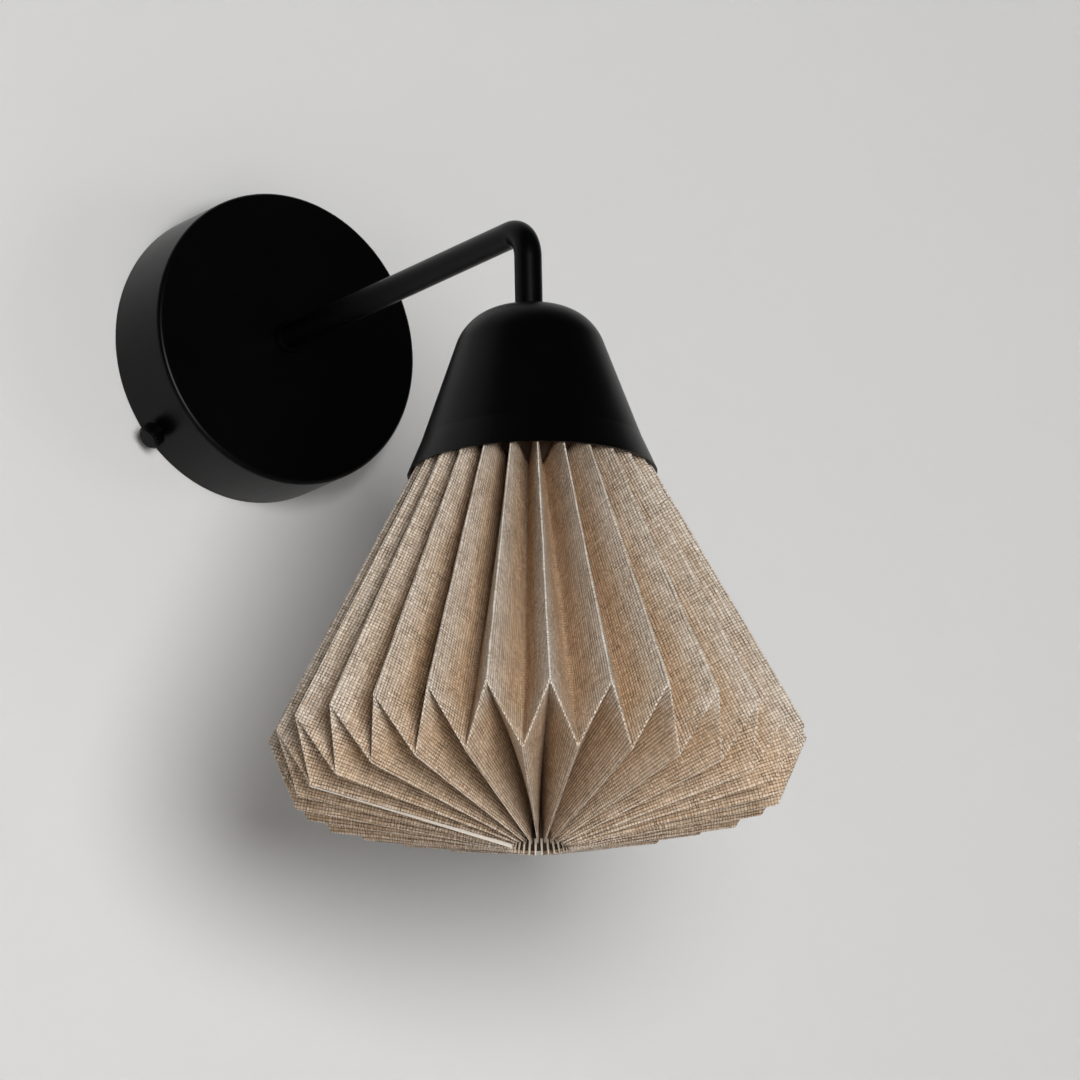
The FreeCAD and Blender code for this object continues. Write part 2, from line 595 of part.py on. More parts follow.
def centre_contact():
    """A brass leaf under the insert, with the button that presses on the bulb's tip."""
    under_insert = at_lamp(INSERT_BOTTOM - CONTACT_THICKNESS)
    foot = Part.makeBox(CONTACT_OFFSET + 2 * CONTACT_OVERHANG, CONTACT_WIDTH, CONTACT_THICKNESS,
                        under_insert - Vector(CONTACT_OVERHANG, half(CONTACT_WIDTH), 0))
    button = cylinder(BUTTON_RADIUS, BUTTON_HEIGHT, under_insert, DOWN)
    return foot.fuse(button).removeSplitter()


def side_contact():
    """A brass leaf from the other wire to the screw shell's edge."""
    outer = SCREW_SHELL_RADIUS - SCREW_SHELL_WALL
    return Part.makeBox(outer - SIDE_CONTACT_INNER, CONTACT_WIDTH, CONTACT_THICKNESS,
                        at_lamp(INSERT_BOTTOM - CONTACT_THICKNESS) - Vector(outer, half(CONTACT_WIDTH), 0))


def clamping_ring(top):
    """A ring with scalloped grips that runs on the lampholder's thread."""
    bottom = at_lamp(top - RING_HEIGHT)
    ring = tube(RING_RADIUS, HOLDER_RADIUS + SEAT_GAP, RING_HEIGHT, bottom, UP)
    for k in range(RING_GRIPS):
        grip = cylinder(RING_GRIP_RADIUS, RING_HEIGHT, bottom + OUT_X * (RING_RADIUS + RING_GRIP_OFFSET), UP)
        grip.rotate(LAMP_AXIS, UP, k * TURN / RING_GRIPS)
        ring = ring.cut(grip)
    return ring


def shade_carrier():
    """The flat ring between the clamping rings. It fills the cap, and the shade's top hangs below it."""
    radius = cap_inner_radius(CARRIER_TOP) - CARRIER_CAP_GAP
    bottom = at_lamp(CARRIER_TOP - CARRIER_THICKNESS)
    disc = tube(radius, HOLDER_RADIUS + SEAT_GAP, CARRIER_THICKNESS, bottom, UP)
    hole_radius = half(radius - RING_RADIUS) - CARRIER_WEB
    for k in range(CARRIER_HOLES):
        hole = cylinder(hole_radius, CARRIER_THICKNESS, bottom + OUT_X * half(RING_RADIUS + radius), UP)
        hole.rotate(LAMP_AXIS, UP, k * TURN / CARRIER_HOLES)
        disc = disc.cut(hole)
    return disc


# Shade.

PANEL_ANGLE = math.radians(half(TURN / PLEAT_COUNT))
RIDGE_AT_RIM = cap_inner_radius(CAP_RIM_HEIGHT) - SEAT_GAP - half(SHEET_THICKNESS)
UPPER_CREASE_ANGLE = math.atan2(HIP_RADIUS - RIDGE_AT_RIM, CAP_RIM_HEIGHT - HIP_HEIGHT)
CROWN_HEIGHT = CARRIER_TOP - CARRIER_THICKNESS - SEAT_GAP - SHEET_THICKNESS
CROWN_RADIUS = RIDGE_AT_RIM - (CROWN_HEIGHT - CAP_RIM_HEIGHT) * math.tan(UPPER_CREASE_ANGLE)
THROAT_RADIUS = HOLDER_RADIUS + THROAT_GAP


def panel_width():
    """Between two neighbouring creases of the strip: wide enough to fold in from cap to lampholder."""
    inward = (CROWN_RADIUS - THROAT_RADIUS * math.cos(PANEL_ANGLE)) / math.cos(UPPER_CREASE_ANGLE)
    return math.hypot(inward, THROAT_RADIUS * math.sin(PANEL_ANGLE))


PANEL_WIDTH = panel_width()


def lower_crossing(near, near_distance, far, far_distance):
    """Where two circles in one (radius, height) plane cross; the lower of the two points."""
    gap = (far[0] - near[0], far[1] - near[1])
    distance = math.hypot(*gap)
    along = (near_distance ** 2 - far_distance ** 2 + distance ** 2) / (2 * distance)
    off = math.sqrt(near_distance ** 2 - along ** 2)
    ux = gap[0] / distance
    uz = gap[1] / distance
    found = [(near[0] + along * ux - side * off * uz, near[1] + along * uz + side * off * ux)
             for side in (-1, 1)]
    return min(found, key=lambda point: point[1])


def shade_corners():
    """The corners of one panel above and one below the zigzag, on the sheet's middle, as (radius, height).

    A ridge of the upper cone runs crown -> hip and goes on as a valley, hip -> gather. A valley of the upper
    cone runs throat -> knee and goes on as a ridge, knee -> hole. The zigzag crease joins hips and knees, and
    it makes the same angle with the creases above and below it, as on any folded strip.
    """
    lower = math.radians(LOWER_CREASE_ANGLE)
    above = (math.sin(UPPER_CREASE_ANGLE), -math.cos(UPPER_CREASE_ANGLE))
    below = (-math.cos(lower), -math.sin(lower))
    length = math.hypot(above[0] + below[0], above[1] + below[1])
    middle = ((above[0] + below[0]) / length, (above[1] + below[1]) / length)
    cos_half = middle[0] * above[0] + middle[1] * above[1]
    spread = math.tan(PANEL_ANGLE) ** 2
    a = 1 - cos_half ** 2 + middle[0] ** 2 * spread
    b = 2 * HIP_RADIUS * middle[0] * spread
    c = HIP_RADIUS ** 2 * spread - PANEL_WIDTH ** 2
    step = (-b + math.sqrt(b * b - 4 * a * c)) / (2 * a)
    shift = step * cos_half                     # between a hip and a knee, measured along the creases
    knee = ((HIP_RADIUS + step * middle[0]) / math.cos(PANEL_ANGLE), HIP_HEIGHT + step * middle[1])
    ridge = (CROWN_HEIGHT - HIP_HEIGHT) / math.cos(UPPER_CREASE_ANGLE)
    crown = (CROWN_RADIUS, CROWN_HEIGHT)
    valley = (HIP_RADIUS - GATHER_RADIUS) / math.cos(lower)
    gather = (GATHER_RADIUS, HIP_HEIGHT + valley * below[1])

    def one_panel_from(point):
        """Circle of the places on the next crease's plane that lie one panel width from a point."""
        reach = math.sqrt(PANEL_WIDTH ** 2 - (point[0] * math.sin(PANEL_ANGLE)) ** 2)
        return (point[0] * math.cos(PANEL_ANGLE), point[1]), reach

    throat = lower_crossing(*one_panel_from(crown), knee, ridge + shift)
    hole = lower_crossing(*one_panel_from(gather), knee, valley - shift)
    hip = (HIP_RADIUS, HIP_HEIGHT)
    return {"crown": crown, "throat": throat, "hip": hip, "knee": knee, "gather": gather, "hole": hole}


def at_crease(point, angle, aside=0.0):
    """A place from its radius and height in a crease's plane, and its distance to one side of that plane."""
    across = Vector(-math.sin(angle), math.cos(angle), 0)
    return Vector(point[0] * math.cos(angle), point[0] * math.sin(angle), point[1]) + across * aside


def turning_section(corners, name, other, neighbours):
    """The sheet's two skins at a hip or a knee, where the panels above and below meet in a crease's plane."""
    point = at_crease(corners[name], 0.0)
    rows = []
    beside = at_crease(corners[other], PANEL_ANGLE) - point
    for neighbour in neighbours:
        normal = (at_crease(corners[neighbour], 0.0) - point).cross(beside)
        normal.normalize()
        rows.append(normal * math.copysign(1.0, normal.x))
    above, below = rows
    scale = half(SHEET_THICKNESS) / (above.x * below.z - above.z * below.x)
    shift = Vector((below.z - above.z) * scale, 0, (above.x - below.x) * scale)
    return [(point + shift, 0.0), (point - shift, 0.0)]


def fold_section(point, crease, neighbour, fold_is_out):
    """The sheet's outer and inner skin across one crease, each as a place and half a width.

    On the inside of the fold the two skins meet in a line, further in the tighter the fold is. The outside of
    the fold is blunt, half a sheet from the crease.
    """
    outward = OUT_Y.cross(crease)
    outward = outward * math.copysign(1.0, outward.x)
    fold_way = outward if fold_is_out else outward * -1
    across = neighbour - point
    across = across - crease * across.dot(crease)
    sine = across.y / across.Length
    cosine = math.sqrt(1 - sine ** 2)
    skin = half(SHEET_THICKNESS)
    sharp = (point - fold_way * (skin / sine), 0.0)
    blunt = (point + fold_way * skin, skin * ((sine - 1) * sine / cosine + cosine))
    return [blunt, sharp] if fold_is_out else [sharp, blunt]


def crease_sections(corners, free, turn, other_free, other_turn, fold_is_out):
    """Sections along one crease, from the sheet's cut edge towards the zigzag."""
    start = at_crease(corners[free], 0.0)
    end = at_crease(corners[turn], 0.0)
    beside_start = at_crease(corners[other_free], PANEL_ANGLE)
    beside_end = at_crease(corners[other_turn], PANEL_ANGLE)
    crease = end - start
    crease.normalize()
    sections = []
    for k in range(PANEL_SPANS):
        share = k / PANEL_SPANS
        sections.append(fold_section(start + (end - start) * share, crease,
                                     beside_start + (beside_end - beside_start) * share, fold_is_out))
    return sections


def turned(section, skin, angle, side):
    """One skin's place in a section, turned to its crease and moved to one side of it."""
    place, width = section[skin]
    return at_crease((place.x, place.z), angle, side * width)


def face_through(*points):
    return Part.Face(Part.makePolygon([*points, points[0]]))


def panel_faces(at_hip, at_knee, hip_angle, knee_angle, side):
    """Both skins of one panel and its cut edge, in flat triangles."""
    faces = []
    for skin in (0, 1):
        hip_line = [turned(section, skin, hip_angle, side) for section in at_hip]
        knee_line = [turned(section, skin, knee_angle, -side) for section in at_knee]
        for k in range(PANEL_SPANS):
            faces.append(face_through(hip_line[k], hip_line[k + 1], knee_line[k + 1]))
            faces.append(face_through(hip_line[k], knee_line[k + 1], knee_line[k]))
    edge = [turned(at_hip[0], skin, hip_angle, side) for skin in (0, 1)]
    edge += [turned(at_knee[0], skin, knee_angle, -side) for skin in (1, 0)]
    faces.append(face_through(edge[0], edge[1], edge[2]))
    faces.append(face_through(edge[0], edge[2], edge[3]))
    return faces


def crease_faces(sections, angle):
    """The blunt outside of one crease, narrowing to nothing at the zigzag, and its end at the cut edge."""
    blunt = 0 if sections[0][0][1] > 0 else 1
    left = [turned(section, blunt, angle, -1) for section in sections]
    right = [turned(section, blunt, angle, 1) for section in sections]
    faces = [face_through(left[0], right[0], turned(sections[0], 1 - blunt, angle, 0))]
    for k in range(PANEL_SPANS - 1):
        faces.append(face_through(left[k], right[k], right[k + 1], left[k + 1]))
    faces.append(face_through(left[-2], right[-2], left[-1]))
    return faces


def pleated_shade(corners):
    """The folded sheet as one closed shell."""
    hip = turning_section(corners, "hip", "knee", ("crown", "gather"))
    knee = turning_section(corners, "knee", "hip", ("throat", "hole"))
    halves = []
    for at_hip, at_knee, ridge_above in (("crown", "throat", True), ("gather", "hole", False)):
        halves.append((crease_sections(corners, at_hip, "hip", at_knee, "knee", ridge_above) + [hip],
                       crease_sections(corners, at_knee, "knee", at_hip, "hip", not ridge_above) + [knee]))
    faces = []
    for k in range(PLEAT_COUNT):
        hip_angle = math.radians(FIRST_RIDGE_ANGLE) + 2 * k * PANEL_ANGLE
        for hip_sections, knee_sections in halves:
            for side in (-1, 1):
                knee_angle = hip_angle + side * PANEL_ANGLE
                faces += panel_faces(hip_sections, knee_sections, hip_angle, knee_angle, side)
            faces += crease_faces(hip_sections, hip_angle)
            faces += crease_faces(knee_sections, hip_angle + PANEL_ANGLE)
    shell = Part.makeShell(faces)
    shell.sewShape()
    solid = Part.makeSolid(shell)
    if solid.Volume < 0:
        solid.reverse()
    solid.translate(LAMP_AXIS)
    return solid


# Bulb.

BULB_TIP_TOP = INSERT_BOTTOM - CONTACT_THICKNESS - BUTTON_HEIGHT - SEAT_GAP
BULB_SCREW_TOP = BULB_TIP_TOP - BULB_TIP_LENGTH
BULB_SCREW_BOTTOM = HOLDER_BOTTOM - BULB_SEAT
BULB_BODY_BOTTOM = BULB_SCREW_BOTTOM - BULB_BODY_LENGTH


def bulb_screw():
    """The screw shell, with rounded rings for its thread."""
    pitch = BULB_THREAD_PITCH
    root = BULB_SCREW_RADIUS - BULB_THREAD_DEPTH
    points = [(0, BULB_SCREW_BOTTOM), (root, BULB_SCREW_BOTTOM)]
    for k in range(int((BULB_SCREW_TOP - BULB_SCREW_BOTTOM) / pitch)):
        middle = BULB_SCREW_BOTTOM + half(2 * k + 1) * pitch
        points += [(root, middle - BULB_THREAD_FOOT * pitch),
                   (BULB_SCREW_RADIUS, middle - BULB_THREAD_CREST * pitch),
                   (BULB_SCREW_RADIUS, middle + BULB_THREAD_CREST * pitch),
                   (root, middle + BULB_THREAD_FOOT * pitch)]
    points += [(root - BULB_SCREW_EDGE, BULB_SCREW_TOP), (0, BULB_SCREW_TOP)]
    return revolve(outline(points), LAMP_AXIS)


def bulb_tip():
    """The insulator and the contact at the bulb's end."""
    contact_edge = BULB_TIP_TOP - BULB_TIP_EDGE
    points = [(0, BULB_SCREW_TOP), (BULB_INSULATOR_RADIUS, BULB_SCREW_TOP), (BULB_TIP_RADIUS, contact_edge),
              (BULB_TIP_RADIUS - BULB_TIP_EDGE, BULB_TIP_TOP), (0, BULB_TIP_TOP)]
    return revolve(outline(points), LAMP_AXIS)


def bulb_body():
    """The flared housing between the screw and the globe."""
    seam = Vector(BULB_RIM_RADIUS, 0, BULB_BODY_BOTTOM)
    neck = Vector(BULB_NECK_RADIUS, 0, BULB_SCREW_BOTTOM)
    middle = (neck + seam) * 0.5 - OUT_X * BULB_BODY_HOLLOW
    top = Vector(0, 0, BULB_SCREW_BOTTOM)
    bottom = Vector(0, 0, BULB_BODY_BOTTOM)
    edges = [Part.LineSegment(top, neck).toShape(), Part.Arc(neck, middle, seam).toShape(),
             Part.LineSegment(seam, bottom).toShape(), Part.LineSegment(bottom, top).toShape()]
    return revolve(edges, LAMP_AXIS)


def bulb_globe():
    """A hollow diffuser, deeper than a half ball."""
    centre = BULB_BODY_BOTTOM - (BULB_GLOBE_DEPTH - BULB_GLOBE_RADIUS)
    rim = Vector(0, 0, BULB_BODY_BOTTOM)

    def ball(radius):
        start = Vector(math.sqrt(radius ** 2 - (BULB_BODY_BOTTOM - centre) ** 2), 0, BULB_BODY_BOTTOM)
        side = Vector(radius, 0, centre)
        end = Vector(0, 0, centre - radius)
        return revolve([Part.LineSegment(rim, start).toShape(), Part.Arc(start, side, end).toShape(),
                        Part.LineSegment(end, rim).toShape()], LAMP_AXIS)

    return ball(BULB_GLOBE_RADIUS).cut(ball(BULB_GLOBE_RADIUS - BULB_WALL))


# Wiring.

CABLE_END = PLATE_INNER_FACE + PLATE_NIPPLE_TAIL + PLATE_CABLE_TAIL
HOLDER_CABLE_END = HOLDER_TOP - HOLDER_WALL - HOLDER_CABLE_TAIL
BLOCK_NEAR = half(BRACKET_WIDTH) + BLOCK_GAP
BLOCK_TOP = -BRACKET_THICKNESS - BLOCK_HEIGHT
BLOCK_MIDDLE = -BRACKET_THICKNESS - half(BLOCK_HEIGHT)


def arm_cable():
    return pipe(arm_path(CABLE_END, HOLDER_CABLE_END), CABLE_RADIUS)


def pole_offsets():
    return [(k - half(BLOCK_POLES - 1)) * BLOCK_PITCH for k in range(BLOCK_POLES)]


def clamp_mouths(offset):
    """Places of a pole's two screws on the block's top face."""
    middle = BLOCK_NEAR + half(BLOCK_DEPTH)
    return [Vector(offset, BLOCK_TOP, middle + side * BLOCK_SCREW_OFFSET) for side in (-1, 1)]


def terminal_block():
    block = Part.makeBox(BLOCK_LENGTH, BLOCK_HEIGHT, BLOCK_DEPTH,
                         Vector(-half(BLOCK_LENGTH), BLOCK_TOP, BLOCK_NEAR))
    top = [e for e in block.Edges if abs(e.CenterOfMass.y - BLOCK_TOP) < SAME_PLACE]
    block = block.makeFillet(BLOCK_EDGE_RADIUS, top)
    for offset in pole_offsets():
        bore = Vector(offset, BLOCK_MIDDLE, BLOCK_NEAR)
        block = block.cut(cylinder(CLAMP_RADIUS + BLOCK_WALL, BLOCK_DEPTH, bore, UP))
        for mouth in clamp_mouths(offset):
            block = block.cut(cylinder(BLOCK_SCREW_RADIUS + BLOCK_WALL, half(BLOCK_HEIGHT), mouth, OUT_Y))
    return on_bracket(block)


def terminal_clamps():
    """Brass sleeves inside the terminal block, one for each pole."""
    clamps = []
    for offset in pole_offsets():
        start = Vector(offset, BLOCK_MIDDLE, BLOCK_NEAR + CLAMP_INSET)
        sleeve = tube(CLAMP_RADIUS, CLAMP_RADIUS - CLAMP_WALL, BLOCK_DEPTH - 2 * CLAMP_INSET, start, UP)
        for mouth in clamp_mouths(offset):
            sleeve = sleeve.cut(cylinder(BLOCK_SCREW_RADIUS + SCREW_FIT, half(BLOCK_HEIGHT), mouth, OUT_Y))
        clamps.append(on_bracket(sleeve))
    return clamps


def terminal_screws():
    screws = []
    length = half(BLOCK_HEIGHT) - BLOCK_SCREW_SUNK - CORE_RADIUS - BLOCK_SCREW_GRIP
    for offset in pole_offsets():
        for mouth in clamp_mouths(offset):
            head = mouth + OUT_Y * BLOCK_SCREW_SUNK
            screw = cylinder(BLOCK_SCREW_RADIUS, length, head, OUT_Y)
            slit = Part.makeBox(2 * BLOCK_SCREW_RADIUS, SCREW_SLIT, SCREW_SLIT,
                                head - Vector(BLOCK_SCREW_RADIUS, 0, half(SCREW_SLIT)))
            screws.append(on_bracket(screw.cut(slit)))
    return screws


def cross_bar(length, height, centre):
    """One bar of the earth screw's cross recess, sunk from its centre on the head's face."""
    corner = centre - Vector(half(length), 0, half(height))
    return Part.makeBox(length, EARTH_CROSS_DEPTH, height, corner)


def earth_screw():
    under_head = -(BRACKET_THICKNESS + EARTH_LUG_THICKNESS + SEAT_GAP)
    crown = under_head - EARTH_HEAD_HEIGHT
    shank = cylinder(SIDE_SCREW_RADIUS, -under_head, EARTH_PLACE, OUTWARD)
    head = cylinder(EARTH_HEAD_RADIUS, EARTH_HEAD_HEIGHT, EARTH_PLACE + OUT_Y * under_head, OUTWARD)
    rim = [e for e in head.Edges if e.Closed and abs(e.CenterOfMass.y - crown) < SAME_PLACE]
    head = head.makeFillet(EARTH_HEAD_EDGE, rim)
    centre = EARTH_PLACE + OUT_Y * crown
    cross = cross_bar(EARTH_CROSS_LENGTH, EARTH_CROSS_WIDTH, centre)
    cross = cross.fuse(cross_bar(EARTH_CROSS_WIDTH, EARTH_CROSS_LENGTH, centre))
    return on_bracket(shank.fuse(head).cut(cross).removeSplitter())


def earth_lug():
    """The crimped ring terminal on the earth core."""
    place = EARTH_PLACE + OUTWARD * (BRACKET_THICKNESS + EARTH_LUG_GAP)
    ring = tube(EARTH_HEAD_RADIUS, SIDE_SCREW_RADIUS + SCREW_FIT, EARTH_LUG_THICKNESS, place, OUTWARD)
    return on_bracket(ring)


def core(points):
    return pipe(route(points), CORE_RADIUS)


def plate_cores():
    """The live and neutral cores from the cable's end to the terminal block."""
    cores = []
    for side, offset in zip((-1, 1), pole_offsets()):
        start = Vector(side * CORE_OFFSET, CABLE_END, PAIR_RISE)
        bend = Vector(offset * PAIR_BEND.x, CABLE_END + PAIR_BEND.y, PAIR_BEND.z)
        before = Vector(offset, BLOCK_MIDDLE, BLOCK_NEAR - BLOCK_CORE_REACH)
        inside = Vector(offset, BLOCK_MIDDLE, BLOCK_NEAR + BLOCK_CORE_REACH)
        cores.append(on_bracket(core([start, start + OUT_Y * CORE_LEAD, bend, before, inside])))
    return cores


def earth_core():
    start = Vector(0, CABLE_END, -EARTH_DROP)
    lug = -(BRACKET_THICKNESS + EARTH_LUG_THICKNESS + CORE_RADIUS + SEAT_GAP)
    end = Vector(EARTH_PLACE.x, lug, EARTH_PLACE.z - EARTH_HEAD_RADIUS - SEAT_GAP)
    bend = OUT_Y * CABLE_END + EARTH_BEND
    return on_bracket(core([start, start + OUT_Y * CORE_LEAD, bend, end + EARTH_LIFT, end]))


def holder_cores():
    """The two cores inside the lampholder's dome, down to the insert."""
    cores = []
    for side in (-1, 1):
        start = at_lamp(HOLDER_CABLE_END) + OUT_X * (side * CORE_OFFSET)
        end = at_lamp(INSERT_BOTTOM + SEAT_GAP) + OUT_X * (side * CONTACT_OFFSET)
        last_corner = end + UP * (INSERT_THICKNESS + HOLDER_BEND_RISE)
        cores.append(core([start, start + DOWN * CORE_LEAD, last_corner, end]))
    return cores


def main():
    os.makedirs(PARTS, exist_ok=True)
    save("wall_plate", wall_plate())
    save("wall_bracket", wall_bracket())
    right, left = side_screw_turns()
    save("side_screw_right", side_screw(right))
    save("side_screw_left", side_screw(left))
    save("arm_collar", arm_collar())
    save("arm_tube", arm_tube())
    save("plate_nipple", nipple(Vector(0, PLATE_INNER_FACE + PLATE_NIPPLE_TAIL, 0),
                                PLATE_NIPPLE_TAIL + PLATE_WALL + COLLAR_LENGTH + NIPPLE_GRIP, OUTWARD))
    save("plate_washer", lock_washer(Vector(0, PLATE_INNER_FACE, 0), OUT_Y))
    save("plate_nut", lock_nut(Vector(0, PLATE_INNER_FACE + WASHER_THICKNESS, 0), OUT_Y))
    save("cable_bush", cable_bush())
    nipple_top = TUBE_END + NIPPLE_GRIP
    save("cap_nipple", nipple(at_lamp(nipple_top), nipple_top - CAP_NIPPLE_END, DOWN))
    save("bell_cap", bell_cap())
    save("cap_washer", lock_washer(at_lamp(CAP_TOP - CAP_WALL), DOWN))
    save("cap_nut", lock_nut(at_lamp(CAP_TOP - CAP_WALL - WASHER_THICKNESS), DOWN))
    save("holder_dome", holder_dome())
    save("holder_body", holder_body())
    save("holder_insert", holder_insert())
    save("screw_shell", screw_shell())
    save("centre_contact", centre_contact())
    save("side_contact", side_contact())
    save("upper_ring", clamping_ring(CARRIER_TOP + RING_HEIGHT))
    save("lower_ring", clamping_ring(CARRIER_TOP - CARRIER_THICKNESS))
    corners = shade_corners()
    for name, (radius, height) in corners.items():
        print("  shade %-7s radius %6.2f height %8.2f" % (name, radius, height))
    save("shade_carrier", shade_carrier())
    save("pleated_shade", pleated_shade(corners))
    save("bulb_tip", bulb_tip())
    save("bulb_screw", bulb_screw())
    save("bulb_body", bulb_body())
    save("bulb_globe", bulb_globe())
    save("arm_cable", arm_cable())
    save("terminal_block", terminal_block())
    save("terminal_clamps", *terminal_clamps())
    save("terminal_screws", *terminal_screws())
    save("earth_screw", earth_screw())
    save("earth_lug", earth_lug())
    save("plate_cores", *plate_cores())
    save("earth_core", earth_core())
    save("holder_cores", *holder_cores())


main()
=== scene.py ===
"""Dresses the pleated fabric wall light: coated metal, a folded linen shade, its fittings and a pale stage.

Metres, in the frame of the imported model: the origin is the centre of the wall plate's back, -Y points out of
the wall and +Z is up. The lamp's own axis is vertical and stands off the wall by the arm's reach.
"""

import math
import random

import bpy
from bpy.props import FloatProperty, FloatVectorProperty, IntProperty, PointerProperty
from mathutils import Matrix, Vector


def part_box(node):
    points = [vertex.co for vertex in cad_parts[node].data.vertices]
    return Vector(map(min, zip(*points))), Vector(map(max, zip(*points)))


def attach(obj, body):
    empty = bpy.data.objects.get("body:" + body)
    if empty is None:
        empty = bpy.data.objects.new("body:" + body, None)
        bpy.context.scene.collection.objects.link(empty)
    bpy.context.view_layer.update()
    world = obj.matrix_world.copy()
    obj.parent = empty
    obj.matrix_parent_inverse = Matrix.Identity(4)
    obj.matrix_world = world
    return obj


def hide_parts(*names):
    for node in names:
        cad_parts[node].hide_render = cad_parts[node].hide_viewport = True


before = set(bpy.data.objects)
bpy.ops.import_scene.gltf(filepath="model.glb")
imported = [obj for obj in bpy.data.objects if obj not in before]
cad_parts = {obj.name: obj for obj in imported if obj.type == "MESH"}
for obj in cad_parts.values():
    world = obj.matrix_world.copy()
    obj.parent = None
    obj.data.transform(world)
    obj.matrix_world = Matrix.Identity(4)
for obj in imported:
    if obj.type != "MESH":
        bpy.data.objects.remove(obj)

bl_info = {
    "name": "Pleated Fabric Wall Light",
    "version": (1, 0, 0),
    "blender": (4, 5, 0),
    "location": "View3D > Sidebar > Wall Light",
    "description": "Builds the finish, the folded shade and the stage of a fabric wall light",
    "category": "Object",
}

FIXTURE = "fixture"
CAP_LOW, CAP_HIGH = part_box("bell_cap")
CAP_MIDDLE = (CAP_LOW + CAP_HIGH) / 2
LAMP_AXIS = Vector((CAP_MIDDLE.x, CAP_MIDDLE.y, 0))

# The soft lights: what they face, how far off they are, and each one's diameter and power in watts.
LIGHT_TARGET = Vector((0, -0.1, -0.1))
LIGHT_DISTANCE = 3.0
KEY_LIGHT = (1.3, 82.0)
FILL_LIGHT = (1.1, 12.0)
REAR_LIGHT = (2.0, 38.0)

# Sockets of a Mix node, which share their names, by index.
MIX_SHARE = 0
MIX_NUMBERS = (2, 3)
MIX_COLOURS = (6, 7)

# The weave. Places are counted in threads, and a stretch is the noise passed from one to the next.
THREADS_APART = 7.31  # noise between two neighbouring threads, so that they differ
SEED_STEP = 4.0  # from the warp's noise to the weft's
WANDER_ACROSS = 0.42  # stretch of the threads' straying from thread to thread
WANDER_ALONG = 0.07  # and along a thread
THREAD_WIDTH = 1.10  # of a thick thread, in pitches
THREAD_THINNING = 0.46  # by how much a thin thread is narrower
THREAD_BOW = 2.2  # power of its fall from the middle of a crossing
PARTED_DEPTH = 0.76  # share of the height that is lost where threads have drawn apart

# Density of the shade's meshes.
SPANS_ABOVE = 34
SPANS_BELOW = 28
PANEL_SPANS = 5
SEAM_SPANS = 24
FIBRE_LINKS = 7
COLLAR_SIDES = 96
TURN_SHARES = (0.25, 0.5, 0.75)  # rows in the rounded zigzag
HIP_SHARES = (0.25, 0.5, 0.75)  # columns in a crease that ends at a hip
KNEE_SHARES = (0.16, 0.33, 0.5, 0.67, 0.84)  # columns in a crease that ends at a knee

# Unevenness of the folds. Each corner strays by a share of the shade's unevenness.
CORNER_STRAYS = {"crown": 0.3, "throat": 0.3, "hip": 1.0, "knee": 1.0, "gather": 0.0, "hole": 0.15}
RADIUS_STRAY = 0.6  # share of that, in radius
HEIGHT_STRAY = 0.8  # and in height
LEAST_STRAY_RADIUS = 0.03  # that turns a corner's stray into an angle
BOW_SPREAD = 0.7  # share of a panel's bow
STRIP_SEED = 28
FIBRE_SEED = 7

# Wear and painted highlight on the linen's creases.
ZIGZAG_SIDE_WEAR_AND_HIGHLIGHT = 0.45
WEAR_AND_HIGHLIGHT_FALL = 2.4  # from the middle of a crease to its side

# The seam and two near-black card collars (painted shade). A collar's gaps from the folds' corners are
# (radius, height).
SEAM_ROOT = 0.97  # share of the panel from which the bare end runs
SEAM_PROUD = 0.0004
CROWN_GAP = Vector((-0.0008, -0.0007))
FOLD_GAP = Vector((0.0008, 0.0))
HOLE_GAP = Vector((0.0004, 0.0016))

# Loose fibres.
FIBRE_TURNS = (0.0, 120.0, 240.0)  # of a fibre's three sides, in degrees
FIBRE_SPOTS = (0.15, 0.97)  # stretch of a crease that they stand on
FIBRE_LENGTHS = (0.0010, 0.0032)
FIBRE_STRAY = 0.6
FIBRE_CURL = 0.28
FIBRE_LEAN = {"above": 0.01, "below": -0.02}


# Properties.

def length(name, description, default):
    return FloatProperty(name=name, description=description, default=default, unit="LENGTH", precision=5)


def angle(name, description, degrees):
    return FloatProperty(name=name, description=description, default=math.radians(degrees), subtype="ANGLE")


def fraction(name, description, default):
    return FloatProperty(name=name, description=description, default=default, subtype="FACTOR", min=0, max=1)


def count(name, description, default):
    return IntProperty(name=name, description=description, default=default)


def colour(name, description, default):
    return FloatVectorProperty(name=name, description=description, default=default, size=3, subtype="COLOR",
                               min=0, max=1)


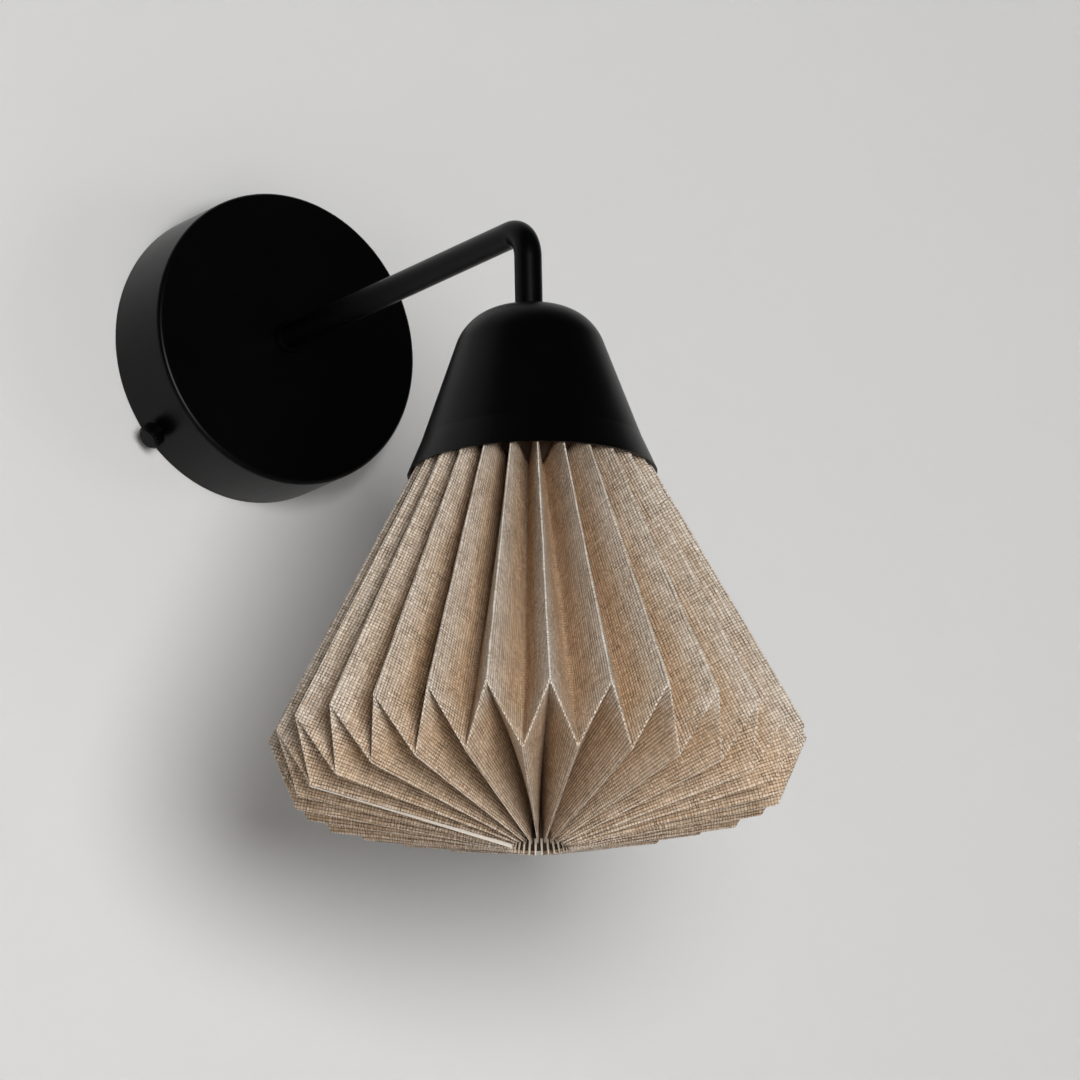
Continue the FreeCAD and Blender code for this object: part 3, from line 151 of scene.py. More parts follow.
class ShadeSizes(bpy.types.PropertyGroup):
    pleats: count("Pleats", "Number of folds round the shade", 28)
    first_ridge: angle("First ridge", "Angle of one ridge round the lamp's axis", 7.7)
    panel_width: length("Panel width", "Between two neighbouring creases of the strip", 0.0212)
    hip_radius: length("Hip radius", "Radius at which a ridge of the upper cone ends", 0.0961)
    hip_height: length("Hip height", "Height of the ridges' lower ends", -0.1917)
    crown_height: length("Crown height", "Height of the ridges' upper ends", -0.0845)
    upper_slope: angle("Upper slope", "Of an upper ridge from the vertical", 28.0)
    lower_slope: angle("Lower slope", "Of a lower valley below the horizontal", 11.3)
    gather_radius: length("Gather radius", "Of the lower valleys' ends round the hole", 0.0056)
    thickness: length("Thickness", "Of the linen and its backing together", 0.00055)
    thread_pitch: length("Thread pitch", "Between two neighbouring threads of the linen", 0.00114)
    crease_reach: length("Crease reach", "How far a crease's rounding reaches into its panels", 0.0008)
    valley_reach: length("Valley reach", "The same for an upper valley, away from the zigzag", 0.0048)
    lower_valley_reach: length("Lower valley reach", "The same for a lower valley, half way in", 0.0022)
    pinch: fraction("Pinch", "How far a tight crease keeps to its sharp corner", 0.7)
    loosening: length("Loosening", "Length of valley over which its rounding grows", 0.035)
    # full_depth and underside_shade set the painted shade: the linen is darkened and warmed into the folds and
    # on the lower cone.
    full_depth: length("Full depth", "Depth in a fold from which on the linen keeps its colour", 0.013)
    underside_shade: fraction("Underside", "How far the light has spared the lower cone", 0.6)
    unevenness: length("Unevenness", "How far a fold strays from its even place", 0.00032)
    bow: length("Bow", "How far a panel bows out between its creases", 0.0005)
    seam_crease: count("Seam crease", "Lower ridge that carries the strip's seam", 25)
    seam_creases: count("Seam creases", "Number of creases over which the seam's lift fades", 8)
    seam_width: length("Seam width", "Of the bare end of the strip, at the hole", 0.0015)
    seam_start: length("Seam start", "Width of the bare end at its outer end", 0.0003)
    seam_lift: length("Seam lift", "How far the doubled seam lifts the folds next to it, at the hole", 0.0013)
    hip_lift: length("Hip lift", "How far the hips are pulled up past the even fold", 0.0008)
    collar_thickness: length("Collar thickness", "Of the card that closes the folds' inner ends", 0.0003)
    fibres: count("Loose fibres", "Number of loose fibres along the creases", 90)
    fibre_thickness: length("Fibre thickness", "Of one loose fibre", 0.00007)


class StageSizes(bpy.types.PropertyGroup):
    camera_place: FloatVectorProperty(name="Camera", description="Where the photograph was taken from",
                                      default=(-1.4824, -2.4324, -0.8111), subtype="TRANSLATION")
    camera_turn: angle("Camera turn", "To the right of straight at the wall", 33.61)
    camera_rise: angle("Camera rise", "Above the horizontal", 14.51)
    camera_roll: angle("Camera roll", "Clockwise about the line of sight", 1.18)
    camera_lens: FloatProperty(name="Lens", description="Focal length in millimetres", default=257.4,
                               unit="CAMERA")
    key_turn: angle("Key light turn", "To the right of straight in front of the wall", -18.2)
    key_rise: angle("Key light rise", "Above the horizontal", -4.7)
    fill_turn: angle("Fill light turn", "To the right of straight in front of the wall", 60.0)
    fill_rise: angle("Fill light rise", "Above the horizontal", 0.0)
    rear_turn: angle("Rear light turn", "To the right of straight in front of the wall", 165.0)
    rear_rise: angle("Rear light rise", "Above the horizontal", 24.0)
    world_light: fraction("World light", "Strength of the light from all round", 0.05)
    world_seen: fraction("World seen", "How bright the surroundings look to the camera", 0.55)
    floor_glow: fraction("Floor glow", "Light that the floor itself shows to the camera", 0.38)
    floor_height: length("Floor height", "Of the floor below the plate's centre", -1.15)
    wall_gap: length("Wall gap", "Between the plate's back and the backdrop", 0.0004)
    stage_size: length("Stage size", "Half the side of the floor and the backdrop", 6.0)


class FinishColours(bpy.types.PropertyGroup):
    coat: colour("Powder coat", "The black coat of the plate, arm and cap", (0.0005, 0.0005, 0.0006))
    thread: colour("Linen thread", "The pale threads of the weave", (0.84, 0.75, 0.655))
    thread_shade: colour("Linen dark thread", "The darker threads", (0.56, 0.46, 0.365))
    # Painted shade: the colour that the linen is multiplied by inside the folds and on the lower cone.
    painted_fold_shade: colour("Linen kept colour", "What the threads keep of it deep in the folds", (0.89, 0.71, 0.53))
    gap: colour("Linen gap", "Between the threads", (0.060, 0.037, 0.022))
    slub: colour("Linen slub", "The rusty flecks", (0.40, 0.23, 0.11))
    # Partly wear, partly painted highlight: the pale line along the ridges and the zigzag.
    crease: colour("Linen crease", "Threads worn pale along the creases", (0.80, 0.76, 0.70))
    strip_end: colour("Strip end", "The bare end of the strip at the seam", (0.68, 0.62, 0.55))
    backing: colour("Backing", "The stiff cream layer under the linen", (0.84, 0.76, 0.62))
    # Near black: painted shade where the folds' inner ends meet the cap and the hole.
    card: colour("Card", "Of the glued card inside the folds' ends", (0.05, 0.03, 0.018))
    backdrop: colour("Backdrop", "The pale wall and floor", (0.64, 0.636, 0.63))


# Helpers.

def deselect():
    if bpy.context.object and bpy.context.object.mode != "OBJECT":
        bpy.ops.object.mode_set(mode="OBJECT")
    bpy.ops.object.select_all(action="DESELECT")


def new_mesh_object(name, vertices, faces, materials=()):
    mesh = bpy.data.meshes.new(name)
    mesh.from_pydata([tuple(v) for v in vertices], [], faces)
    mesh.update()
    piece = bpy.data.objects.new(name, mesh)
    bpy.context.scene.collection.objects.link(piece)
    for material in materials:
        mesh.materials.append(material)
    return piece


def apply_modifier(piece, kind, **settings):
    deselect()
    bpy.context.view_layer.objects.active = piece
    piece.select_set(True)
    modifier = piece.modifiers.new(kind.title(), kind)
    for name, value in settings.items():
        setattr(modifier, name, value)
    bpy.ops.object.modifier_apply(modifier=modifier.name)


def finish_node(name, material):
    """Gives a CAD node its finish."""
    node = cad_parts[name]
    node.data.materials.clear()
    node.data.materials.append(material)


def scaled(tint, share):
    """A tint made darker, or lighter by a share over 1."""
    return [part * share for part in tint]


class Graph:
    """A node tree with short ways to add and join nodes. An entry is a socket or a plain value."""

    def __init__(self, tree):
        self.tree = tree

    def node(self, kind, **settings):
        node = self.tree.nodes.new("ShaderNode" + kind)
        for name, value in settings.items():
            setattr(node, name, value)
        return node

    def feed(self, socket, entry):
        if isinstance(entry, bpy.types.NodeSocket):
            self.tree.links.new(entry, socket)
        else:
            socket.default_value = entry

    def feed_all(self, sockets, entries):
        for socket, entry in zip(sockets, entries):
            self.feed(socket, entry)

    def math(self, operation, *entries):
        node = self.node("Math", operation=operation)
        self.feed_all(node.inputs, entries)
        return node.outputs[0]

    def plus(self, first, second):
        return self.math("ADD", first, second)

    def minus(self, first, second):
        return self.math("SUBTRACT", first, second)

    def times(self, first, second):
        return self.math("MULTIPLY", first, second)

    def vector(self, x=0.0, y=0.0, z=0.0):
        node = self.node("CombineXYZ")
        self.feed_all(node.inputs, (x, y, z))
        return node.outputs[0]

    def split(self, vector):
        node = self.node("SeparateXYZ")
        self.feed(node.inputs[0], vector)
        return node.outputs

    def noise(self, vector, scale, detail=2.0, roughness=0.5):
        node = self.node("TexNoise")
        sockets = [node.inputs[name] for name in ("Vector", "Scale", "Detail", "Roughness")]
        self.feed_all(sockets, (vector, scale, detail, roughness))
        return node.outputs["Fac"]

    def mix(self, share, first, second, blend="MIX"):
        """Mixes two colours."""
        node = self.node("Mix", data_type="RGBA", blend_type=blend)
        self.feed(node.inputs[MIX_SHARE], share)
        for index, entry in zip(MIX_COLOURS, (first, second)):
            plain = not isinstance(entry, bpy.types.NodeSocket)
            self.feed(node.inputs[index], (*entry, 1.0) if plain else entry)
        return node.outputs[2]

    def choose(self, share, first, second):
        """The first number where share is 0, and the second where it is 1."""
        node = self.node("Mix", data_type="FLOAT")
        self.feed_all([node.inputs[index] for index in (MIX_SHARE, *MIX_NUMBERS)], (share, first, second))
        return node.outputs[0]

    def between(self, entry, low, high, to_low=0.0, to_high=1.0):
        node = self.node("MapRange", clamp=True)
        self.feed_all(node.inputs, (entry, low, high, to_low, to_high))
        return node.outputs[0]

    def group(self, tree_name, **entries):
        node = self.node("Group", node_tree=bpy.data.node_groups[tree_name])
        for name, entry in entries.items():
            self.feed(node.inputs[name.replace("_", " ").title()], entry)
        return node.outputs


def new_group(name, inputs, outputs):
    """A shader node group with named sockets. inputs holds name: (kind, default)."""
    tree = bpy.data.node_groups.new(name, "ShaderNodeTree")
    for socket_name, (kind, default) in inputs.items():
        socket = tree.interface.new_socket(socket_name, in_out="INPUT", socket_type="NodeSocket" + kind)
        if default is not None:
            socket.default_value = default
    for socket_name, kind in outputs.items():
        tree.interface.new_socket(socket_name, in_out="OUTPUT", socket_type="NodeSocket" + kind)
    entry = tree.nodes.new("NodeGroupInput")
    leave = tree.nodes.new("NodeGroupOutput")
    return Graph(tree), entry.outputs, leave.inputs


def new_material(name, **fixed):
    """A material with one Principled shader. fixed sets sockets that are the same all over."""
    material = bpy.data.materials.new(name)
    material.use_nodes = True
    shader = material.node_tree.nodes["Principled BSDF"]
    for socket, value in fixed.items():
        shader.inputs[socket.replace("_", " ")].default_value = value
    return material, Graph(material.node_tree), shader


def add_bump(graph, shader, height, strength, distance):
    bump = graph.node("Bump")
    bump.inputs["Strength"].default_value = strength
    bump.inputs["Distance"].default_value = distance
    graph.feed(bump.inputs["Height"], height)
    graph.feed(shader.inputs["Normal"], bump.outputs["Normal"])


def object_place(graph):
    return graph.node("TexCoord").outputs["Object"]


def strip_place(graph):
    """Place on the flat strip, in metres, from the piece's own UV map."""
    node = graph.node("UVMap")
    node.uv_map = "strip"
    return node.outputs["UV"]


# Effects that several finishes share.

def weave_group():
    """Plain weave: the threads' height, tone and slubs, how far the gaps are closed, and slow patches."""
    graph, given, result = new_group(
        "plain_weave",
        {"Place": ("Vector", None), "Pitch": ("Float", 0.001), "Wobble": ("Float", 0.3)},
        {"Height": "Float", "Tone": "Float", "Slub": "Float", "Closed": "Float", "Cloudy": "Float"})
    u, v, _ = graph.split(given["Place"])
    threads_u = graph.math("DIVIDE", u, given["Pitch"])
    threads_v = graph.math("DIVIDE", v, given["Pitch"])

    def thread_noise(stretch_u, stretch_v, seed, detail):
        place = graph.vector(graph.times(threads_u, stretch_u), graph.times(threads_v, stretch_v), seed)
        return graph.noise(place, scale=1.0, detail=detail, roughness=0.6)

    def wander(stretch_u, stretch_v, seed):
        """How far the threads stray here, as a share of the pitch."""
        stray = graph.minus(thread_noise(stretch_u, stretch_v, seed, detail=2.0), 0.5)
        return graph.times(stray, given["Wobble"])

    warp = graph.plus(threads_u, wander(WANDER_ACROSS, WANDER_ALONG, seed=31.0))
    weft = graph.plus(threads_v, wander(WANDER_ALONG, WANDER_ACROSS, seed=37.0))
    warp_thread = graph.math("FLOOR", warp)
    weft_thread = graph.math("FLOOR", weft)
    weft_on_top = graph.math("MODULO", graph.math("ABSOLUTE", graph.plus(warp_thread, weft_thread)), 2.0)

    def off_middle(count):
        """Place across a thread: 0 in its middle, -1 and 1 at its edges."""
        return graph.times(graph.minus(graph.math("FRACT", count), 0.5), 2.0)

    def along_thread(thread, way, stretch, seed):
        """Noise that runs along one thread and differs from thread to thread."""
        place = graph.vector(graph.times(thread, THREADS_APART), graph.times(way, stretch), seed)
        return graph.noise(place, scale=1.0, detail=3.0, roughness=0.6)

    def along_top_thread(stretch, seed):
        """The same, along whichever thread lies on top here."""
        return graph.choose(weft_on_top, along_thread(warp_thread, weft, stretch, seed),
                            along_thread(weft_thread, warp, stretch, seed + SEED_STEP))

    def hump(across, along, thinness, fullness, fall, height):
        """A thread's crown: thinness from 0 to 1 narrows it, fullness flattens it, fall lowers its ends."""
        width = graph.minus(THREAD_WIDTH, graph.times(thinness, THREAD_THINNING))
        side = graph.math("POWER", graph.math("ABSOLUTE", graph.math("DIVIDE", across, width)), fullness)
        end = graph.math("POWER", graph.math("ABSOLUTE", along), THREAD_BOW)
        crown = graph.times(graph.math("MAXIMUM", graph.minus(1.0, side), 0.0),
                            graph.minus(1.0, graph.times(end, fall)))
        return graph.times(crown, height)

    def speck(seed):
        """A chance value for each crossing of two threads."""
        node = graph.node("TexWhiteNoise", noise_dimensions="3D")
        graph.feed(node.inputs["Vector"], graph.vector(warp_thread, weft_thread, seed))
        return node.outputs["Value"]

    def parting(across, along, seed):
        """1 on a line where two neighbouring threads have drawn apart for a stretch, and 0 off it."""
        edge = graph.plus(across, 0.5)
        here = graph.between(along_thread(graph.math("FLOOR", edge), along, 0.055, seed), 0.60, 0.69)
        off_line = graph.math("ABSOLUTE", graph.minus(graph.math("FRACT", edge), 0.5))
        return graph.times(here, graph.between(off_line, 0.06, 0.30, 1.0, 0.0))

    thin_warp = graph.between(along_thread(warp_thread, weft, 0.13, seed=21.0), 0.42, 0.68)
    thin_weft = graph.between(along_thread(weft_thread, warp, 0.13, seed=27.0), 0.42, 0.68)
    across_warp = off_middle(warp)
    across_weft = off_middle(weft)
    height = graph.choose(weft_on_top,
                          hump(across_warp, across_weft, thin_warp, fullness=2.6, fall=0.60, height=1.0),
                          hump(across_weft, across_warp, thin_weft, fullness=3.0, fall=0.70, height=0.86))
    uneven = graph.plus(0.84, graph.times(speck(seed=3.0), 0.22))
    parted = graph.math("MAXIMUM", parting(warp, weft, seed=61.0), parting(weft, warp, seed=67.0))
    whole = graph.minus(1.0, graph.times(parted, PARTED_DEPTH))
    graph.feed(result["Height"], graph.times(graph.times(height, uneven), whole))

    jitter = graph.times(graph.minus(speck(seed=0.0), 0.5), 0.22)
    graph.feed(result["Tone"], graph.plus(along_top_thread(0.075, seed=1.0), jitter))
    graph.feed(result["Slub"], graph.between(along_top_thread(0.16, seed=9.0), 0.63, 0.72))

    tight = graph.between(thread_noise(0.16, 0.16, 41.0, detail=3.0), 0.35, 0.75, 0.0, 0.45)
    closed = graph.plus(tight, graph.times(speck(seed=6.0), 0.25))
    graph.feed(result["Closed"], graph.math("MAXIMUM", closed, graph.times(parted, 0.25)))

    patches = graph.vector(graph.times(u, 2.2), graph.times(v, 0.5))
    graph.feed(result["Cloudy"], graph.noise(patches, scale=60.0, detail=3.0, roughness=0.6))
    return graph.tree


def coat_group():
    """Powder coat: fine orange peel, with a slow change of gloss."""
    graph, given, result = new_group(
        "powder_coat",
        {"Place": ("Vector", None), "Grain": ("Float", 2600.0), "Gloss": ("Float", 0.42)},
        {"Height": "Float", "Roughness": "Float", "Tint": "Float"})
    fine = graph.noise(given["Place"], given["Grain"], detail=3.0, roughness=0.55)
    slow = graph.noise(given["Place"], scale=38.0)
    graph.feed(result["Height"], fine)
    graph.feed(result["Roughness"], graph.plus(given["Gloss"], graph.times(graph.minus(slow, 0.5), 0.10)))
    graph.feed(result["Tint"], slow)
    return graph.tree


def wear_group():
    """Small scratches and tarnish for bare metal and plastic parts."""
    graph, given, result = new_group(
        "handling_marks",
        {"Place": ("Vector", None), "Scale": ("Float", 120.0), "Amount": ("Float", 0.5)},
        {"Mark": "Float", "Height": "Float"})
    cloud = graph.noise(given["Place"], given["Scale"], detail=4.0, roughness=0.62)
    fine = graph.noise(given["Place"], graph.times(given["Scale"], 9.0))
    graph.feed(result["Mark"], graph.times(graph.between(cloud, 0.42, 0.68), given["Amount"]))
    graph.feed(result["Height"], fine)
    return graph.tree


# Finishes.

def black_coat(name, tint, gloss, grain):
    material, graph, shader = new_material(name, Specular_IOR_Level=0.10)
    effect = graph.group("powder_coat", place=object_place(graph), grain=grain, gloss=gloss)
    graph.feed(shader.inputs["Base Color"], graph.mix(effect["Tint"], tint, scaled(tint, 1.5)))
    graph.feed(shader.inputs["Roughness"], effect["Roughness"])
    add_bump(graph, shader, effect["Height"], strength=0.10, distance=0.00005)
    return material


def handled(name, base, marked, roughness, metallic=0.0, scale=120.0, **fixed):
    """Bare metal or moulded plastic with faint marks."""
    material, graph, shader = new_material(name, Metallic=metallic, **fixed)
    marks = graph.group("handling_marks", place=object_place(graph), scale=scale, amount=0.8)
    rougher = min(roughness + 0.2, 1.0)
    graph.feed(shader.inputs["Base Color"], graph.mix(marks["Mark"], base, marked))
    graph.feed(shader.inputs["Roughness"], graph.between(marks["Mark"], 0.0, 1.0, roughness, rougher))
    add_bump(graph, shader, marks["Height"], strength=0.08, distance=0.0001)
    return material


def linen(colours, pitch):
    """The woven face: pale threads over dark gaps, painted shade deep in the folds and on the lower cone, and
    a crease line that is partly wear, partly painted highlight.
    """
    material, graph, shader = new_material("linen_weave", Sheen_Weight=0.04, Sheen_Roughness=0.5,
                                           Specular_IOR_Level=0.2)
    weave = graph.group("plain_weave", place=strip_place(graph), pitch=pitch, wobble=1.0)
    deep = graph.node("Attribute", attribute_name="depth").outputs["Fac"]
    wear_and_highlight = graph.node("Attribute", attribute_name="crease").outputs["Fac"]
    thread = graph.mix(graph.between(weave["Tone"], 0.33, 0.67), colours.thread_shade, colours.thread)
    thread = graph.mix(graph.times(weave["Slub"], 0.6), thread, colours.slub)
    patches = graph.mix(graph.between(weave["Cloudy"], 0.32, 0.68), (0.92, 0.87, 0.80), (1.04, 1.04, 1.04))
    thread = graph.mix(1.0, thread, patches, blend="MULTIPLY")
    # Painted shade: darker and warmer inside the folds and on the lower cone.
    thread = graph.mix(1.0, thread, graph.mix(deep, (1.0, 1.0, 1.0), colours.painted_fold_shade), blend="MULTIPLY")
    # The creases' pale line: partly worn threads, partly painted highlight.
    patchy = graph.between(weave["Tone"], 0.3, 0.6, 0.1, 0.7)
    worn_and_highlit = graph.mix(graph.times(wear_and_highlight, patchy), thread, colours.crease)
    between_threads = graph.mix(weave["Closed"], colours.gap, thread)
    solid = graph.between(weave["Height"], 0.18, 0.62)
    graph.feed(shader.inputs["Base Color"], graph.mix(solid, between_threads, worn_and_highlit))
    graph.feed(shader.inputs["Roughness"], graph.between(weave["Height"], 0.0, 1.0, 0.98, 0.80))
    add_bump(graph, shader, weave["Height"], strength=1.0, distance=0.00034)
    return material


def backing(colours):
    """The stiff cream layer that shows inside the folds and on the strip's edges."""
    material, graph, shader = new_material("cream_backing", Specular_IOR_Level=0.2)
    place = strip_place(graph)
    fibre = graph.noise(place, scale=900.0, detail=4.0, roughness=0.7)
    cloudy = graph.noise(place, scale=60.0, detail=3.0)
    graph.feed(shader.inputs["Base Color"], graph.mix(cloudy, colours.backing, scaled(colours.backing, 0.86)))
    graph.feed(shader.inputs["Roughness"], graph.between(fibre, 0.0, 1.0, 0.8, 0.98))
    add_bump(graph, shader, fibre, strength=0.35, distance=0.00012)
    return material


def plain_fibre(name, tint, roughness):
    """Card, glue or loose fibre: matt, with a fine fibrous mottle."""
    material, graph, shader = new_material(name, Specular_IOR_Level=0.2)
    mottle = graph.noise(object_place(graph), scale=1400.0, detail=3.0, roughness=0.6)
    graph.feed(shader.inputs["Base Color"], graph.mix(mottle, scaled(tint, 0.8), scaled(tint, 1.15)))
    graph.feed(shader.inputs["Roughness"], graph.between(mottle, 0.0, 1.0, roughness, roughness + 0.1))
    return material


def one_sided(name, tint, glow=0.0):
    """A pale matt stage that is seen from its front only, and lets the lamp be lit and seen from behind.

    glow is the light that the stage itself shows where the lights don't reach; none of it falls on the lamp.
    """
    material, graph, shader = new_material(name, Specular_IOR_Level=0.15)
    slow = graph.noise(object_place(graph), scale=1.3, detail=3.0)
    graph.feed(shader.inputs["Base Color"], graph.mix(slow, tint, scaled(tint, 0.965)))
    graph.feed(shader.inputs["Roughness"], graph.between(slow, 0.0, 1.0, 0.85, 0.93))
    shader.inputs["Emission Color"].default_value = (*tint, 1.0)
    ray = graph.node("LightPath").outputs
    graph.feed(shader.inputs["Emission Strength"], graph.times(ray["Is Camera Ray"], glow))
    clear = graph.node("BsdfTransparent")
    behind = graph.node("NewGeometry").outputs["Backfacing"]
    unseen = graph.math("MAXIMUM", behind, ray["Is Shadow Ray"])
    blend = graph.node("MixShader")
    graph.feed_all(blend.inputs, (unseen, shader.outputs[0], clear.outputs[0]))
    graph.feed(material.node_tree.nodes["Material Output"].inputs["Surface"], blend.outputs[0])
    return material


# The folded shade.

def lower_crossing(near, near_distance, far, far_distance):
    """Where two circles in one (radius, height) plane cross; the lower of the two points."""
    gap = far - near
    along = (near_distance ** 2 - far_distance ** 2 + gap.length ** 2) / (2 * gap.length)
    off = math.sqrt(near_distance ** 2 - along ** 2)
    unit = gap.normalized()
    foot = near + unit * along
    side = Vector((-unit.y, unit.x)) * off
    return min(foot + side, foot - side, key=lambda point: point.y)


def shade_corners(sizes):
    """Corners of the folded strip as (radius, height): the same folding rule as the solid shade's.

    ridge, shift and valley are lengths down the strip: to a hip, on to a knee, and from a hip to the end.
    """
    half_pitch = math.pi / sizes.pleats
    above = Vector((math.sin(sizes.upper_slope), -math.cos(sizes.upper_slope)))
    below = Vector((-math.cos(sizes.lower_slope), -math.sin(sizes.lower_slope)))
    middle = (above + below).normalized()
    cos_half = middle.dot(above)
    spread = math.tan(half_pitch) ** 2
    a = 1 - cos_half ** 2 + middle.x ** 2 * spread
    b = 2 * sizes.hip_radius * middle.x * spread
    c = sizes.hip_radius ** 2 * spread - sizes.panel_width ** 2
    step = (-b + math.sqrt(b * b - 4 * a * c)) / (2 * a)
    shift = step * cos_half
    hip = Vector((sizes.hip_radius, sizes.hip_height))
    knee = Vector(((hip.x + step * middle.x) / math.cos(half_pitch), hip.y + step * middle.y))
    ridge = (sizes.crown_height - sizes.hip_height) / math.cos(sizes.upper_slope)
    crown = hip - above * ridge
    valley = (sizes.hip_radius - sizes.gather_radius) / math.cos(sizes.lower_slope)
    gather = hip + below * valley

    def next_panel(point):
        reach = math.sqrt(sizes.panel_width ** 2 - (point.x * math.sin(half_pitch)) ** 2)
        return Vector((point.x * math.cos(half_pitch), point.y)), reach

    throat = lower_crossing(*next_panel(crown), knee, ridge + shift)
    hole = lower_crossing(*next_panel(gather), knee, valley - shift)
    return {"crown": crown, "throat": throat, "hip": hip, "knee": knee, "gather": gather, "hole": hole,
            "ridge": ridge, "shift": shift, "valley": valley}


def fold_lines(sizes, corners, chance):
    """Top, turn and bottom of every crease in space, with the length of strip above the turn."""
    lines = []
    half_pitch = math.pi / sizes.pleats
    for k in range(2 * sizes.pleats):
        on_hip = k % 2 == 0
        past_seam = k - sizes.seam_crease
        points = []
        for name in ("crown", "hip", "gather") if on_hip else ("throat", "knee", "hole"):
            stray = sizes.unevenness * CORNER_STRAYS[name]
            radius, height = corners[name]
            turn = sizes.first_ridge + k * half_pitch
            turn += chance.gauss(0, stray) / max(radius, LEAST_STRAY_RADIUS)
            radius += chance.gauss(0, stray * RADIUS_STRAY)
            height += chance.gauss(0, stray * HEIGHT_STRAY)
            if name == "hip":
                height += sizes.hip_lift
            if name == "hole" and 0 <= past_seam < sizes.seam_creases:
                height += sizes.seam_lift * (1 - past_seam / sizes.seam_creases)
            points.append(LAMP_AXIS + Vector((radius * math.cos(turn), radius * math.sin(turn), height)))
        above = corners["ridge"] + (0 if on_hip else corners["shift"])
        lines.append((points, above))
    return lines


def bend(first, middle, last, share):
    """A point on the rounded corner first-middle-last."""
    return first * (1 - share) ** 2 + middle * (2 * share * (1 - share)) + last * share ** 2


def ease(share):
    """Grows smoothly from 0 to 1 as share does."""
    share = min(max(share, 0.0), 1.0)
    return share * share * (3 - 2 * share)


class FoldedStrip:
    """Points of the folded strip, in space and on the flat strip that it was folded from.

    A row is (half, share): half is above, turn or below, for the upper cone, the rounded zigzag and the lower
    cone, and share runs down that half. A place across the strip is (k, share): share of the panel after
    crease k.
    """

    def __init__(self, sizes):
        self.sizes = sizes
        self.corners = shade_corners(sizes)
        self.length = self.corners["ridge"] + self.corners["valley"]
        chance = random.Random(STRIP_SEED)
        self.lines = fold_lines(sizes, self.corners, chance)
        spread = sizes.bow * BOW_SPREAD
        self.bows = []
        for _ in self.lines:
            upper = chance.gauss(sizes.bow, spread)
            self.bows.append((upper, chance.gauss(sizes.bow, spread) / 2))

    def line(self, k):
        return self.lines[k % len(self.lines)]

    def crease(self, k, row):
        """A point on crease k, before it is rounded across."""
        (top, turn, bottom), _ = self.line(k)
        half, share = row
        if half == "above":
            return top.lerp(turn, share)
        if half == "below":
            return turn.lerp(bottom, share)
        first = turn + (top - turn).normalized() * self.sizes.crease_reach
        last = turn + (bottom - turn).normalized() * self.sizes.crease_reach
        return bend(first, turn, last, share)

    def outward(self, k, half):
        """Away from the lamp's axis, square to the panel after crease k."""
        (top, turn, bottom), _ = self.line(k)
        beyond = self.line(k + 1)[0][1]
        down = turn - top if half == "above" else bottom - turn
        return down.cross(beyond - turn).normalized()

    def panel(self, k, share, row):
        """A point on the panel after crease k, bowed out between its creases."""
        flat = self.crease(k, row).lerp(self.crease(k + 1, row), share)
        half, along = row
        if half == "turn":
            return flat
        bow = self.bows[k % len(self.bows)][half == "below"]
        return flat + self.outward(k, half) * (bow * 4 * share * (1 - share) * math.sin(math.pi * along))

    def reach(self, k, row):
        """How far the rounding of crease k reaches into its panels, as a share of a panel."""
        half, along = row
        on_hip = k % 2 == 0
        sizes = self.sizes
        reach = sizes.crease_reach
        if half == "above" and not on_hip:
            away = (1 - along) * self.corners["ridge"] / sizes.loosening
            reach += (sizes.valley_reach - reach) * ease(away)
        if half == "below" and on_hip:
            reach += (sizes.lower_valley_reach - reach) * ease(math.sin(math.pi * along))
        return reach / sizes.panel_width

    def rounded(self, k, share, row):
        """A point on the rounded crease k. A tight crease is pinched, so it keeps close to its corner."""
        reach = self.reach(k, row)
        before = self.panel(k - 1, 1 - reach, row)
        corner = self.crease(k, row)
        after = self.panel(k, reach, row)
        pinch = self.sizes.pinch * self.sizes.crease_reach / (reach * self.sizes.panel_width)
        return bend(before, corner + (corner - (before + after) / 2) * pinch, after, share)

    def flat(self, across, row):
        """The same place on the flat strip: across counts panels from crease 0."""
        half, along = row
        k = math.floor(across)
        here, beyond = self.line(k)[1], self.line(k + 1)[1]
        turn = here + (beyond - here) * (across - k)
        down = {"above": turn * along, "turn": turn + (2 * along - 1) * self.sizes.crease_reach,
                "below": turn + (self.length - turn) * along}[half]
        return across * self.sizes.panel_width, down


def shade_rows(strip):
    """Rows down the strip, with close rows where the zigzag is rounded."""
    reach = strip.sizes.crease_reach
    upper = 1 - reach / strip.corners["ridge"]
    lower = reach / strip.corners["valley"]
    rows = [("above", k / SPANS_ABOVE * upper) for k in range(SPANS_ABOVE + 1)]
    rows += [("turn", share) for share in TURN_SHARES]
    rows += [("below", lower + k / SPANS_BELOW * (1 - lower)) for k in range(SPANS_BELOW + 1)]
    return rows


def shade_columns(strip):
    """Places across the strip: (kind, crease, share)."""
    columns = []
    for k in range(len(strip.lines)):
        columns += [("crease", k, share) for share in (KNEE_SHARES if k % 2 else HIP_SHARES)]
        columns += [("panel", k, step / PANEL_SPANS) for step in range(PANEL_SPANS + 1)]
    return columns


def crease_wear_and_highlight(kind, k, share, row):
    """Wear and painted highlight on the linen: 1 along the top of each ridge and of the zigzag."""
    half, along = row
    if half == "turn":
        return 1.0 if along == 0.5 else ZIGZAG_SIDE_WEAR_AND_HIGHLIGHT
    ridge = (half == "above") == (k % 2 == 0)
    if kind == "crease" and ridge:
        return max(0.0, 1.0 - WEAR_AND_HIGHLIGHT_FALL * abs(share - 0.5))
    return 0.0


